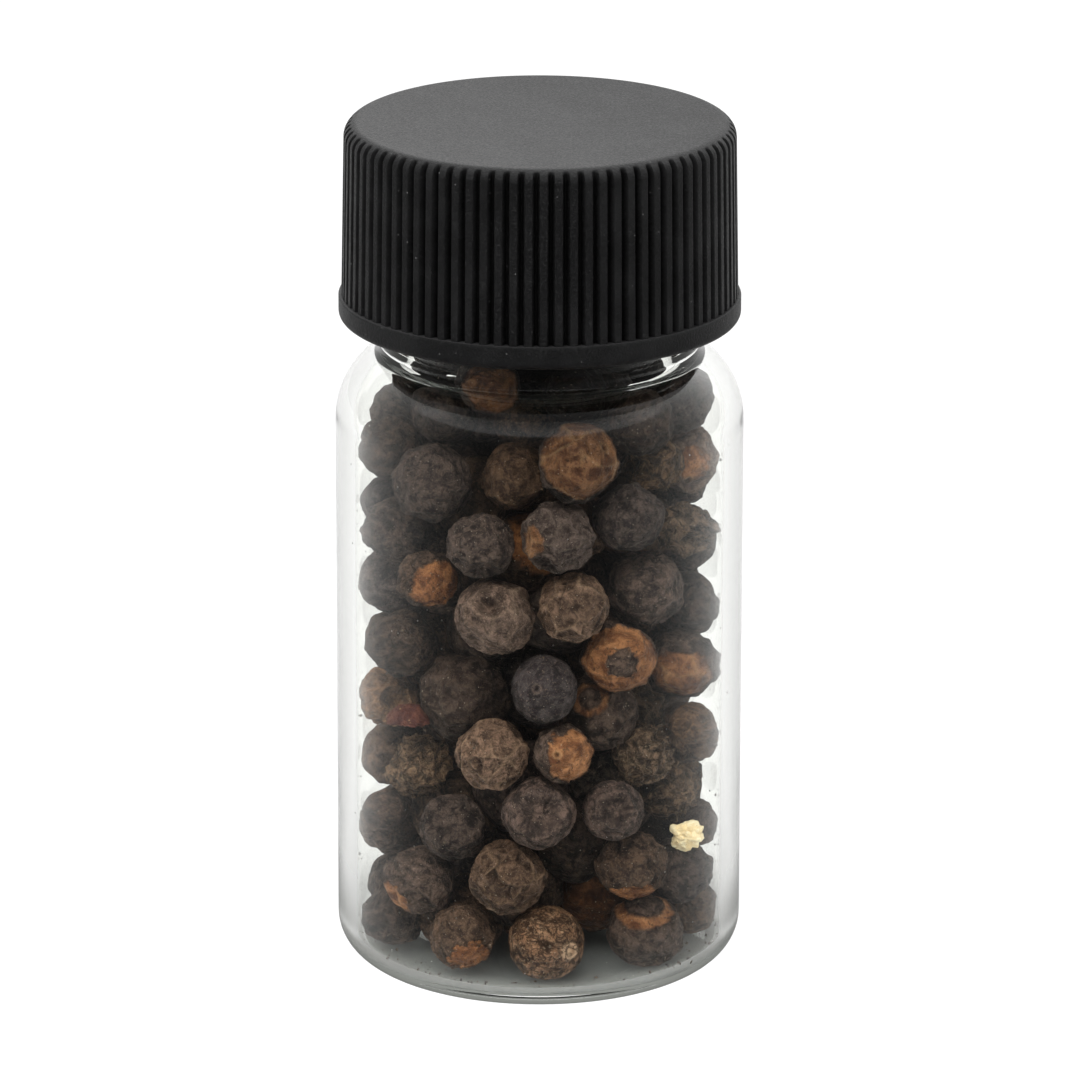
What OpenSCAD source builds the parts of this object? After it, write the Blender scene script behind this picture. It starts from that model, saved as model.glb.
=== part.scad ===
// Glass sample vial with a ribbed screw cap, filled with black peppercorns.
// Millimetres, Z up, origin at the middle of the base.

/* [Glass body] */
// Outer diameter of the straight body
body_d = 27.5; // [24:0.1:32]
// Wall thickness of the body
wall = 1.3; // [0.8:0.05:1.6]
// Thickness of the glass base
base_t = 1.3; // [1:0.1:3]
// Outer radius where the wall meets the base
heel_r = 1.8; // [0.8:0.1:2.4]
// Inner radius where the wall meets the floor
floor_r = 1.2; // [0.5:0.1:2]
// Height at which the straight wall ends
straight_h = 38; // [30:0.5:42]
// Outer radius of the shoulder
shoulder_r = 5.5; // [4.6:0.1:6.5]
// Diameter of the shallow push-up under the base
kick_d = 18; // [12:0.5:20]
// Depth of the push-up at its middle
kick_h = 0.4; // [0.2:0.1:0.7]

/* [Neck and mouth] */
// How far the neck is set in from the body's side, at the root of the thread
neck_inset = 3; // [2.5:0.1:4]
// Thickness of the neck's wall
neck_wall = 1.85; // [1.5:0.05:2.2]
// Length of the neck, from the end of the straight wall to the rim
neck_h = 17.8; // [16:0.1:20]
// Radius that blends the shoulder into the neck
blend_r = 1.2; // [0.8:0.1:1.5]
// Rounding of the rim's two edges
rim_r = 0.45; // [0.2:0.05:0.6]

/* [Screw thread] */
// Rise of the thread in one turn
pitch = 3.175; // [2.8:0.025:3.6]
// How far the glass thread stands out from the neck
thread_h = 1.05; // [0.8:0.05:1.2]
// Turns of thread on the neck
neck_turns = 1.25; // [1:0.25:1.5]
// Turns of thread inside the cap
cap_turns = 1.5; // [1.25:0.25:1.75]
// Width of a thread ridge at its root
ridge_root_w = 1.9; // [1.5:0.1:1.9]
// Width of a thread ridge at its crest
ridge_crest_w = 0.8; // [0.5:0.1:1]
// Distance from the rim down to the middle of the thread's upper end
thread_drop = 2.3; // [2:0.1:2.8]
// Space between the two threads, measured outwards
thread_gap = 0.3; // [0.2:0.05:0.4]
// Space between the pressed flanks of the two threads
flank_gap = 0.12; // [0.08:0.02:0.2]

/* [Cap] */
// Thickness of the ribbed wall at its foot, from the cap's bore to the tops of the ribs
cap_wall_t = 1.2; // [1:0.05:1.8]
// Height of the cap
cap_h = 13.4; // [11:0.1:13.5]
// Thickness of the cap's top
cap_top_t = 1.7; // [0.8:0.1:2]
// How far the ribbed wall leans in on each side over its height
draft = 0.2; // [0:0.05:0.3]
// Rounding of the top edge
cap_edge_r = 0.8; // [0.5:0.1:1.4]
// Number of ribs round the cap
ribs = 83; // [60:1:100]
// Depth of the grooves between the ribs
groove_h = 0.5; // [0.3:0.05:0.6]
// Width of a groove as a share of the rib spacing
groove_share = 0.48; // [0.35:0.01:0.6]
// How far the plain band at the foot stands out from the ribs
band_out = 0.2; // [0.1:0.05:0.6]
// Height of the plain band
band_h = 1.6; // [1:0.05:2.5]
// Rounding of the band's lower edge
band_r = 0.5; // [0.2:0.05:0.6]

/* [Sealing liner] */
// Thickness of the liner
liner_t = 1; // [0.6:0.1:1.5]
// Space round the liner in the cap
liner_gap = 0.1; // [0.05:0.05:0.2]

/* [Peppercorns] */
// Usual diameter of a peppercorn
corn_d = 4.8; // [4.6:0.1:5.2]
// Spread of the diameters to each side
corn_spread = 0.4; // [0:0.05:0.5]
// How far the filling reaches above the straight wall
fill_above = 10; // [4:1:14]
// Least space between neighbours
touch = 0.05; // [0.03:0.01:0.1]
// Number that sets the random order of the filling
seed = 7; // [1:1:50]

/* [Hidden] */
$fn = 96;

body_r = body_d / 2;
inner_r = body_r - wall;
neck_r = body_r - neck_inset;
bore_r = neck_r - neck_wall;
thread_r = neck_r + thread_h;
rim_z = straight_h + neck_h;

// Cap sizes follow from the neck that it screws on
ceiling_z = rim_z + liner_t;
cap_z1 = ceiling_z + cap_top_t;
cap_z0 = cap_z1 - cap_h;
band_z1 = cap_z0 + band_h;
cap_bore_r = thread_r + thread_gap;
cap_r = cap_bore_r + cap_wall_t;
band_d = 2 * (cap_r + band_out);
cap_thread_r = neck_r + thread_gap;
groove_pitch = 360 / ribs;
groove_w = 2 * cap_r * sin(groove_pitch * groove_share / 2);
// Width of a groove's floor as a share of its width at the surface
floor_share = 0.3;
// How far the ribbed wall reaches down into the band
wall_sink = 0.6;
// The liner's seat is the upper, narrower part of the cap's bore
seat_step = 0.6;
seat_depth = 0.9;
seat_r = cap_bore_r - seat_step;
seat_z = rim_z - seat_depth;
// Chamfer at the mouth of the cap
lead_in = 0.4;

// Sections of a thread ridge in one turn
thread_steps = 48;
// How deep a ridge is rooted in its wall
sink = 0.3;
// Share of a turn over which each end of a ridge fades into the wall
fade_turns = 0.12;
thread_start = 60;
ridge_flank = (ridge_root_w - ridge_crest_w) / 2 / thread_h;
// The cap's ridge lies just under the glass ridge, as on a tightened cap
mesh_shift = ridge_crest_w + ridge_flank * (thread_r - cap_thread_r) + flank_gap;

// Peppercorn kinds
BLACK = "black";
BROWN = "brown";
HUSKED = "husked";
TAN = "tan";
DENTED = "dented";
ANGULAR = "angular";
OVAL = "oval";
MOTTLED = "mottled";
CRUMB = "crumb";
FLAKE = "flake";

// Peppercorns seen through the glass, course by course from the floor up, the foremost first:
// angle round the vial (0 at the front, positive to the right), height of the middle,
// diameter and kind
SEEN = [
    [3, 4, 5.2, MOTTLED], [-30, 4, 4.8, HUSKED], [44, 4, 4.8, HUSKED],
    [-70, 3.5, 4.3, BLACK], [84, 3.5, 4.5, BROWN], [-101, 4, 4.5, BLACK],

    [-12, 8, 5.2, BROWN], [-51, 7, 4.7, HUSKED], [37, 9, 4.7, HUSKED],
    [21, 7, 4.3, HUSKED], [65, 6, 4.7, BLACK], [95, 7, 4.7, BLACK],

    [0, 12, 5, DENTED], [28, 13, 4.2, DENTED], [59, 10, 2.3, CRUMB], [-34, 11.5, 4.7, BLACK],
    [56, 13, 4.2, ANGULAR], [-82, 9.5, 4.5, BROWN], [88, 11, 4.6, BLACK],

    [9, 16.5, 4.2, HUSKED], [-18, 16, 5, BROWN], [41, 16.5, 4.4, ANGULAR],
    [-51, 15, 4.6, ANGULAR], [-91, 14, 4.7, BROWN], [84, 15.5, 4.5, BROWN],

    [-51, 18.5, 3, FLAKE], [-29, 21, 5, BROWN], [2, 22, 4.9, OVAL],
    [22, 19.5, 4.2, BROWN], [71, 18, 4.3, ANGULAR], [-78, 19, 4.5, TAN], [96, 19.5, 4.6, BLACK],

    [31, 24, 4.8, HUSKED], [66, 22, 4.5, HUSKED], [-63, 23.5, 4.8, BLACK], [93, 24.5, 4.6, BLACK],

    [-17, 27, 5.3, BROWN], [13, 27.5, 4.9, BROWN], [45, 28, 5.1, BLACK],
    [-45, 29, 4.2, HUSKED], [-82, 26.5, 4.7, BLACK], [94, 29, 4.6, BLACK],

    [7, 32, 5.1, BROWN], [-22, 32, 4.6, BLACK], [35, 33.5, 4.8, BLACK],
    [78, 31, 4.5, TAN], [-90, 30.5, 4.8, BLACK],

    [15, 37.5, 5.1, HUSKED], [-45, 35.5, 5.2, BLACK], [46, 36.5, 4.2, ANGULAR],
    [90, 35, 4.8, TAN], [-9, 37, 4.6, BROWN], [-80, 36.5, 4.6, BLACK],

    [-29, 42, 4.5, HUSKED], [-42, 39.5, 4.6, BLACK], [44, 39.5, 4.6, BROWN],
    [-7, 40, 4.6, BLACK], [80, 39, 4.6, BLACK]
];

// How fast a peppercorn set further back looks higher from the front
back_rise = 0.37;
// Steps by which a peppercorn may stand back from the glass
back_steps = [0:0.5:5];
// Cost of standing back, against the same distance in height
back_cost = 0.3;
// Angle past which a corn shows at the vial's edge and keeps its angle when it stands back
edge_angle = 75;
// Slack when lengths are compared
slack = 0.0001;

// Shapes of the corns, as shares of a corn's radius: radius of the bare seed, the ball that
// presses a dent, the oval corn's ends and the stem scar
seed_share = 0.93;
dent_share = 1.3;
oval_share = 0.9;
scar_share = 0.16;
// Depth of a sunken side, and of the three shallow dents in a rough corn
deep_dent = 0.4;
shallow_dent = 0.1;
shallow_turns = [[70, 0, 0], [80, 0, 125], [65, 0, 235]];
// Blocks whose flat sides an angular corn and the crumb keep
angular_blocks = [[1.75, 1.68, 1.72], [1.75, 1.8, 1.78]];
block_turns = [[0, 0, 0], [45, 35, 0]];
crumb_block = [1.5, 1.4, 1.6];
// Inside of the flake's husk, and the block that it is cut from
flake_inside = 0.75;
flake_block = 1.7;

// Greatest distance from the axis for a corn of radius r with its middle at height z
function room(r, z) =
    let (reach = shoulder_r - wall - r - touch, up = z - straight_h)
    up <= 0 ? inner_r - r - touch
    : up < reach ? inner_r - shoulder_r + wall + sqrt(reach * reach - up * up)
    : bore_r - r - touch;

// Neighbours in reach of an upright line at (x, y): [height, least difference of height]
function neighbours(x, y, r, placed) = [
    for (c = placed)
        let (h = norm([x - c[0], y - c[1]]), s = r + c[3] + touch)
        if (h < s) [c[2], sqrt(s * s - h * h)]
];

// Lowest free height at or above z
function settle(z, near) =
    let (tops = [for (n = near) if (abs(z - n[0]) < n[1] - slack) n[0] + n[1]])
    len(tops) == 0 ? z : settle(max(tops), near);

// One place for a corn: [x, y, z, r, kind, cost], with y to the back
function spot(angle, out, z, r, kind, placed, cost = 0) =
    let (
        x = out * sin(angle),
        y = -out * cos(angle),
        rest = settle(z, neighbours(x, y, r, placed))
    )
    [x, y, rest, r, kind, cost + abs(rest - z)];

function pick(spots, column) =
    let (least = min([for (s = spots) s[column]]))
    [for (s = spots) if (s[column] == least) s][0];

// Angle that keeps a corn's place across the view when it stands back
function angle_back(angle, out, back) =
    let (across = out * sin(angle))
    abs(angle) < edge_angle && abs(across) < out - back ? asin(across / (out - back)) : angle;

function seat_seen(row, placed) =
    let (
        r = row[2] / 2,
        z = max(row[1], base_t + r + touch),
        out = room(r, z)
    )
    pick([
        for (back = back_steps)
            let (
                low = max(z - back_rise * back * cos(row[0]), base_t + r + touch),
                s = spot(angle_back(row[0], out, back), out - back, low, r, row[3], placed,
                         back * back_cost)
            )
            if (out > back && norm([s[0], s[1]]) <= room(r, s[2]) + slack) s
    ], 5);

function seat_all_seen(i = 0, placed = []) =
    i == len(SEEN) ? placed
    : seat_all_seen(i + 1, concat(placed, [seat_seen(SEEN[i], placed)]));

// The rest of the filling: each corn takes the lowest free place on rings of trial places,
// one at the wall and each next one a quarter of a corn's width further in
ring_places = [60, 50, 42, 34, 26, 20, 13, 7, 1];
ring_step = corn_d / 4 + touch;
max_fill = 320;
// How far below the last corn the next one may still find a hole
look_down = 1;
// Sizes of the corns in each round of filling, as shares of the usual one: the later rounds
// fill the holes that the first leaves, behind the corns that are seen from the front
round_sizes = [1, 0.9, 0.8, 0.7, 0.6];
seen_depth = 7;
order = rands(0, 1, 3 * max_fill, seed);
// Each kind with the share of the filling that it and those before it make up
kind_shares = [
    [0.5, BLACK], [0.84, BROWN], [0.9, ANGULAR], [0.95, HUSKED], [0.98, DENTED], [1, TAN]
];

function trial_spots(i, r, low, placed, whole) =
    let (
        out = inner_r - r - touch,
        near = [
            for (c = placed)
                if (c[2] > low - 2 * corn_d && (whole || c[2] < low + 3 * corn_d)) c
        ]
    )
    [
        for (ring = [0:len(ring_places) - 1], k = [0:ring_places[ring] - 1])
            spot(360 * k / ring_places[ring], max(0, out - ring * ring_step),
                 max(low, base_t + r + touch), r, i, near)
    ];

function share_kind(t) = [for (row = kind_shares) if (t <= row[0]) row[1]][0];

function fill(i, low, placed, turn = 0) =
    let (
        r = (corn_d / 2 + (order[3 * i + 1] - 0.5) * corn_spread) * round_sizes[turn],
        fits = [
            for (s = trial_spots(i, r, low, placed, turn > 0))
                if (norm([s[0], s[1]]) <= room(r, s[2]) + slack
                    && s[2] + r < straight_h + fill_above
                    && (turn == 0 || s[1] > seen_depth - inner_r)) s
        ]
    )
    i == max_fill - 1 ? placed
    : len(fits) == 0 ? (turn == len(round_sizes) - 1 ? placed : fill(i, 0, placed, turn + 1))
    : let (s = pick(fits, 2))
    fill(i + 1, max(low, s[2] - look_down),
         concat(placed, [[s[0], s[1], s[2], r, share_kind(order[3 * i + 2])]]), turn);

CORNS = fill(0, 0, seat_all_seen());

// Outline of a bottle: half section with floor corner, shoulder, blend and neck
module bottle_outline(r, floor_z, corner, shoulder, neck, blend, top_z) {
    hub = r - shoulder;
    blend_x = neck + blend;
    blend_z = straight_h + sqrt(pow(shoulder + blend, 2) - pow(blend_x - hub, 2));
    difference() {
        translate([0, floor_z])
            square([r, straight_h - floor_z]);
        translate([r, floor_z])
            mirror([1, 0])
                corner_waste(corner);
    }
    intersection() {
        translate([hub, straight_h])
            circle(shoulder);
        translate([0, straight_h])
            square([r, shoulder]);
    }
    translate([0, straight_h])
        square([neck, top_z - straight_h]);
    difference() {
        polygon([[hub, straight_h], [blend_x, blend_z], [neck - blend, blend_z]]);
        translate([blend_x, blend_z])
            circle(blend);
    }
}

// Waste outside a rounded corner that lies at the origin and opens to +X and +Y
module corner_waste(r) {
    difference() {
        translate([-1, -1])
            square(r + 1);
        translate([r, r])
            circle(r);
    }
}

// Right-handed helical ridge on a cylinder of radius root, with its crest at radius crest.
// z_top is the middle of its upper end.
module thread_ridge(root, crest, turns, z_top) {
    side = sign(crest - root);
    steps = round(turns * thread_steps);
    fade = fade_turns * thread_steps;
    foot = root - side * sink;
    foot_half = ridge_root_w / 2 + ridge_flank * sink;
    crest_half = ridge_crest_w / 2;
    section = [
        for (i = [0:steps])
            let (
                a = thread_start - 360 * i / thread_steps,
                z = z_top - pitch * i / thread_steps,
                low_tip = foot + side * sink / 3,
                tip = low_tip + (crest - low_tip) * min(1, i / fade, (steps - i) / fade)
            )
            for (p = [[foot, foot_half], [tip, crest_half], [tip, -crest_half], [foot, -foot_half]])
                [p[0] * cos(a), p[0] * sin(a), z + p[1]]
    ];
    n = 4 * steps;
    faces = [
        for (i = [0:steps - 1], k = [0:3])
            let (a = 4 * i + k, b = 4 * i + (k + 1) % 4)
            for (f = [[a, a + 4, b], [b, a + 4, b + 4]]) f,
        [0, 1, 2], [0, 2, 3], [n + 2, n + 1, n], [n + 3, n + 2, n]
    ];
    polyhedron(section, side > 0 ? [for (f = faces) [f[2], f[1], f[0]]] : faces);
}

module vial() {
    kick_r = (pow(kick_d / 2, 2) + kick_h * kick_h) / (2 * kick_h);
    color([0.86, 0.9, 0.88, 0.35])
        union() {
            rotate_extrude()
                difference() {
                    bottle_outline(body_r, 0, heel_r, shoulder_r, neck_r, blend_r, rim_z);
                    bottle_outline(inner_r, base_t, floor_r, shoulder_r - wall, bore_r,
                                   blend_r, rim_z + 1);
                    translate([0, kick_h - kick_r])
                        circle(kick_r, $fn = 360);
                    translate([neck_r, rim_z])
                        rotate(180)
                            corner_waste(rim_r);
                    translate([bore_r, rim_z])
                        mirror([0, 1])
                            corner_waste(rim_r);
                }
            thread_ridge(neck_r, thread_r, neck_turns, rim_z - thread_drop);
        }
}

// Solid body of the cap's ribbed wall and top, before it is hollowed
module cap_wall() {
    wall_z0 = band_z1 - wall_sink;
    edge = cap_r - draft;
    intersection() {
        translate([0, 0, wall_z0 - 1])
            linear_extrude(cap_h)
                difference() {
                    circle(cap_r + 1);
                    for (i = [0:ribs - 1])
                        rotate(i * groove_pitch)
                            groove_outline();
                }
        rotate_extrude()
            difference() {
                polygon([[0, wall_z0], [cap_r, wall_z0], [edge, cap_z1 - cap_edge_r],
                         [edge, cap_z1], [0, cap_z1]]);
                translate([edge, cap_z1])
                    rotate(180)
                        corner_waste(cap_edge_r);
            }
    }
}

// Groove with a narrow floor that opens along +X, past the cap's wall
module groove_outline() {
    slope = groove_w * (1 - floor_share) / 2 / groove_h;
    floor_half = groove_w * floor_share / 2;
    past = 2;
    polygon([
        [cap_r - groove_h, -floor_half], [cap_r + past, -floor_half - slope * (groove_h + past)],
        [cap_r + past, floor_half + slope * (groove_h + past)], [cap_r - groove_h, floor_half]
    ]);
}

module cap_band() {
    rotate_extrude()
        difference() {
            translate([0, cap_z0])
                square([band_d / 2, band_h]);
            translate([band_d / 2, cap_z0])
                mirror([1, 0])
                    corner_waste(band_r);
        }
}

module cap() {
    color([0.07, 0.07, 0.075])
        union() {
            difference() {
                union() {
                    cap_wall();
                    cap_band();
                }
                rotate_extrude()
                    polygon([
                        [0, cap_z0 - 1], [cap_bore_r + lead_in, cap_z0 - 1],
                        [cap_bore_r + lead_in, cap_z0], [cap_bore_r, cap_z0 + lead_in],
                        [cap_bore_r, seat_z - seat_step], [seat_r, seat_z],
                        [seat_r, ceiling_z], [0, ceiling_z]
                    ]);
            }
            thread_ridge(cap_bore_r, cap_thread_r, cap_turns, rim_z - thread_drop - mesh_shift);
        }
}

module liner() {
    color([0.93, 0.93, 0.9])
        translate([0, 0, rim_z])
            cylinder(r = seat_r - liner_gap, h = liner_t);
}

// Puts its children at every corn of one kind, each turned its own way
module each_corn(kind) {
    for (i = [0:len(CORNS) - 1])
        if (CORNS[i][4] == kind) {
            $r = CORNS[i][3];
            translate([CORNS[i][0], CORNS[i][1], CORNS[i][2]])
                rotate([0, 360 * order[i], 360 * order[i + max_fill]])
                    children();
        }
}

module round_corn() {
    sphere($r, $fn = 48);
}

// Bare seed with the husk still on one side of it
module husked_corn() {
    sphere(seed_share * $r, $fn = 48);
    intersection() {
        round_corn();
        translate([0, 0, -$r])
            cube(2.2 * $r, center = true);
    }
}

// Corn with a shallow dent of the given depth, in shares of its radius, at each of the given turns
module dented_corn(depth, turns) {
    difference() {
        round_corn();
        for (turn = turns)
            rotate(turn)
                translate([0, 0, (1 + dent_share - depth) * $r])
                    sphere(dent_share * $r, $fn = 48);
    }
}

module corns_black() {
    color([0.13, 0.12, 0.12])
        each_corn(BLACK)
            round_corn();
}

module corns_brown() {
    color([0.25, 0.19, 0.16])
        each_corn(BROWN)
            round_corn();
}

module corns_husked() {
    color([0.6, 0.36, 0.2])
        each_corn(HUSKED)
            husked_corn();
}

module corns_tan() {
    color([0.45, 0.36, 0.3])
        each_corn(TAN)
            dented_corn(shallow_dent, shallow_turns);
}

module corns_dented() {
    color([0.2, 0.17, 0.16])
        each_corn(DENTED)
            dented_corn(deep_dent, [[0, 0, 0]]);
}

module corns_angular() {
    color([0.3, 0.25, 0.2])
        each_corn(ANGULAR)
            intersection() {
                round_corn();
                rotate(block_turns[0])
                    cube(angular_blocks[0] * $r, center = true);
                rotate(block_turns[1])
                    cube(angular_blocks[1] * $r, center = true);
            }
}

module corn_oval() {
    color([0.13, 0.13, 0.16])
        each_corn(OVAL)
            rotate_extrude()
                oval_outline(oval_share * $r, (1 - oval_share) * $r);
}

module corn_mottled() {
    color([0.5, 0.38, 0.27])
        each_corn(MOTTLED)
            difference() {
                round_corn();
                translate([0, 0, $r])
                    sphere(scar_share * $r, $fn = 24);
            }
}

// Half outline of a ball of radius r stretched by up and down along its axis
module oval_outline(r, up) {
    intersection() {
        union() {
            for (side = [-1, 1])
                translate([0, side * up])
                    circle(r);
            translate([-r, -up])
                square([2 * r, 2 * up]);
        }
        translate([0, -2 * r])
            square([2 * r, 4 * r]);
    }
}

module crumb() {
    color([0.85, 0.75, 0.55])
        each_corn(CRUMB)
            intersection() {
                round_corn();
                cube(crumb_block * $r, center = true);
            }
}

module husk_flake() {
    color([0.4, 0.16, 0.12])
        each_corn(FLAKE)
            intersection() {
                difference() {
                    round_corn();
                    sphere(flake_inside * $r, $fn = 48);
                }
                translate([0, 0, $r])
                    cube(flake_block * $r, center = true);
            }
}

vial();
cap();
liner();
corns_black();
corns_brown();
corns_husked();
corns_tan();
corns_dented();
corns_angular();
corn_oval();
corn_mottled();
crumb();
husk_flake();
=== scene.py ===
"""Glass sample vial with a ribbed screw cap, filled with whole black peppercorns.

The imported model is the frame. The glass, the cap and the liner are spun from their outlines, and
every peppercorn is grown on its own solid of the frame. Sizes are in millimetres until a mesh is
made, because a Blender unit is a metre.
"""
from __future__ import annotations

import logging
import math
from dataclasses import dataclass
from enum import Enum
from typing import Iterable, Sequence

import bmesh
import bpy
import numpy as np
from mathutils import Euler, Matrix, Vector

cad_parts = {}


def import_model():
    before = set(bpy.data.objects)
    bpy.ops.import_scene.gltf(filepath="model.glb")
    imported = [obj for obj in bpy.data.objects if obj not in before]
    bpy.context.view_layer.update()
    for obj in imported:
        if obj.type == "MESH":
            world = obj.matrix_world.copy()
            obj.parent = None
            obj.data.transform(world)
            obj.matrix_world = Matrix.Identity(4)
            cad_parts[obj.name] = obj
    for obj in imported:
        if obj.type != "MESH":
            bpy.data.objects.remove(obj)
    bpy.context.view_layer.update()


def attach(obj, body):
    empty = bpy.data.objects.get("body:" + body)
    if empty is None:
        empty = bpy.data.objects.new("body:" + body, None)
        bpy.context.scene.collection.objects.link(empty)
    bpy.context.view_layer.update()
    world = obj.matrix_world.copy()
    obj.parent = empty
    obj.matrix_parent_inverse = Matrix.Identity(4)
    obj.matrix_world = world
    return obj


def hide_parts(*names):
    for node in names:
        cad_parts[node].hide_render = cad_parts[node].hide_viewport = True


LOG = logging.getLogger("vial")
MM = 0.001
FULL_TURN = 2 * math.pi

# How close to a wall's radius a point counts as lying on the wall, in millimetres
ON_WALL = 0.01

Point = tuple[float, float]
Colour = tuple[float, float, float]
Way = tuple[float, float, float]


def lerp(low: float, high: float, share: float) -> float:
    """The value at a share of the way from low to high."""
    return low + (high - low) * share


def soft_step(low: float, high: float, values: np.ndarray) -> np.ndarray:
    """Rises smoothly from 0 at low to 1 at high."""
    t = np.clip((values - low) / (high - low), 0, 1)
    return t * t * (3 - 2 * t)


class Field:
    """Smooth random values over points in space, the same in each run."""

    @staticmethod
    def noise(points: np.ndarray, seed: int) -> np.ndarray:
        """Values of -1 to 1 that change over about one unit.

        Args:
            points: Points in space, one row each.
            seed: Which field to read.

        Returns:
            One value for each point.
        """
        cell = np.floor(points).astype(np.int64)
        part = points - cell
        part = part * part * (3 - 2 * part)
        total = np.zeros(len(points))
        for corner in range(8):
            step = np.array([corner & 1, corner >> 1 & 1, corner >> 2 & 1])
            at = (cell + step) * np.array([73856093, 19349663, 83492791])
            code = (at[:, 0] ^ at[:, 1] ^ at[:, 2] ^ seed) & 0xFFFFFFFF
            code = ((code ^ (code >> 15)) * 739982445) & 0xFFFFFFFF
            code = ((code ^ (code >> 12)) * 695872825) & 0xFFFFFFFF
            weight = np.prod(np.where(step == 1, part, 1 - part), axis=1)
            total += weight * ((code >> 16) / 32767.5 - 1)
        return total

    @staticmethod
    def fractal(points: np.ndarray, seed: int, layers: int = 3) -> np.ndarray:
        """Noise with finer and weaker layers added."""
        return sum(Field.noise(points * 2 ** k, seed + k) / 2 ** k for k in range(layers))

    @staticmethod
    def creases(points: np.ndarray, seed: int, width: float) -> np.ndarray:
        """Narrow winding lines of 1 on a ground of 0."""
        return np.clip(1 - np.abs(Field.noise(points, seed)) / width, 0, 1)


class Bench:
    """Where meshes are made: the few moves that every piece needs."""

    @staticmethod
    def clear() -> None:
        """Leaves edit mode and deselects every object."""
        if bpy.context.object and bpy.context.object.mode != "OBJECT":
            bpy.ops.object.mode_set(mode="OBJECT")
        bpy.ops.object.select_all(action="DESELECT")

    @staticmethod
    def take(obj: bpy.types.Object) -> None:
        """Selects one object alone and makes it the active one.

        Args:
            obj: The object.
        """
        Bench.clear()
        obj.select_set(True)
        bpy.context.view_layer.objects.active = obj

    @staticmethod
    def edit(obj: bpy.types.Object) -> None:
        """Opens one object in edit mode with its whole mesh selected.

        Args:
            obj: The object.
        """
        Bench.take(obj)
        bpy.ops.object.mode_set(mode="EDIT")
        bpy.ops.mesh.select_all(action="SELECT")

    @staticmethod
    def points(obj: bpy.types.Object) -> np.ndarray:
        """Reads all points of a mesh.

        Args:
            obj: The object that has the mesh.

        Returns:
            The points in millimetres, one row each.
        """
        flat = np.empty(len(obj.data.vertices) * 3)
        obj.data.vertices.foreach_get("co", flat)
        return flat.reshape(-1, 3) / MM

    @staticmethod
    def move(obj: bpy.types.Object, points: np.ndarray) -> None:
        """Puts the points of a mesh at new places, given in millimetres."""
        obj.data.vertices.foreach_set("co", (points * MM).ravel())
        obj.data.update()

    @staticmethod
    def spin(name: str, outline: Sequence[Point], steps: int) -> bpy.types.Object:
        """Spins an outline round the Z axis into a closed skin.

        Args:
            name: Name of the new piece.
            outline: Points as (radius, height), from the axis and back to it.
            steps: Number of columns in a full turn.

        Returns:
            The new object, with its normals outwards.
        """
        mesh = bpy.data.meshes.new(name)
        rows = [(r * MM, 0.0, z * MM) for r, z in outline]
        mesh.from_pydata(rows, [(i, i + 1) for i in range(len(rows) - 1)], [])
        obj = bpy.data.objects.new(name, mesh)
        bpy.context.scene.collection.objects.link(obj)
        Bench.edit(obj)
        bpy.ops.mesh.spin(steps=steps, angle=FULL_TURN, center=(0, 0, 0), axis=(0, 0, 1))
        bpy.ops.mesh.select_all(action="SELECT")
        bpy.ops.mesh.remove_doubles(threshold=1e-6)
        bpy.ops.mesh.normals_make_consistent(inside=False)
        bpy.ops.object.mode_set(mode="OBJECT")
        return obj

    @staticmethod
    def smooth(obj: bpy.types.Object, angle: float = 40.0) -> None:
        """Shades a piece smooth, with edges sharper than the angle left crisp."""
        Bench.take(obj)
        bpy.ops.object.shade_smooth_by_angle(angle=math.radians(angle))

    @staticmethod
    def apply(obj: bpy.types.Object) -> None:
        """Applies every modifier of a piece, the first one first.

        Args:
            obj: The piece.
        """
        Bench.take(obj)
        for name in [m.name for m in obj.modifiers]:
            bpy.ops.object.modifier_apply(modifier=name)

    @staticmethod
    def ball(name: str, fineness: int) -> bpy.types.Object:
        """Adds a ball of radius 1 mm at the origin, made of even triangles.

        Args:
            name: Name of the ball.
            fineness: How often its 20 faces are divided, counted from 1.

        Returns:
            The ball.
        """
        Bench.clear()
        bpy.ops.mesh.primitive_ico_sphere_add(subdivisions=fineness, radius=MM, location=(0, 0, 0))
        obj = bpy.context.object
        obj.name = name
        return obj

    @staticmethod
    def copy(obj: bpy.types.Object, name: str) -> bpy.types.Object:
        """Copies an object together with its mesh.

        Args:
            obj: The object.
            name: Name of the copy.

        Returns:
            The copy.
        """
        twin = obj.copy()
        twin.data = obj.data.copy()
        twin.name = name
        bpy.context.scene.collection.objects.link(twin)
        return twin

    @staticmethod
    def join(name: str, parts: Sequence[bpy.types.Object]) -> bpy.types.Object:
        """Joins parts into one piece.

        Args:
            name: Name of the piece.
            parts: The parts, of which the first takes up the others.

        Returns:
            The piece.
        """
        Bench.clear()
        for part in parts:
            part.select_set(True)
        bpy.context.view_layer.objects.active = parts[0]
        bpy.ops.object.join()
        parts[0].name = name
        parts[0].data.name = name
        return parts[0]

    @staticmethod
    def drop(obj: bpy.types.Object) -> None:
        """Deletes an object that was only a pattern for others."""
        Bench.take(obj)
        bpy.ops.object.delete()

    @staticmethod
    def dress(obj: bpy.types.Object, material: bpy.types.Material) -> None:
        """Gives a piece one material all over."""
        obj.data.materials.clear()
        obj.data.materials.append(material)

    @staticmethod
    def store(obj: bpy.types.Object, name: str, values: np.ndarray) -> None:
        """Keeps a value or a vector for each point of a mesh.

        Args:
            obj: The object that has the mesh.
            name: Name under which the materials read it.
            values: A number, or a row of three, for each point.
        """
        vector = values.ndim == 2
        layer = obj.data.attributes.new(name, "FLOAT_VECTOR" if vector else "FLOAT", "POINT")
        layer.data.foreach_set("vector" if vector else "value", values.astype(np.float32).ravel())


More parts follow.
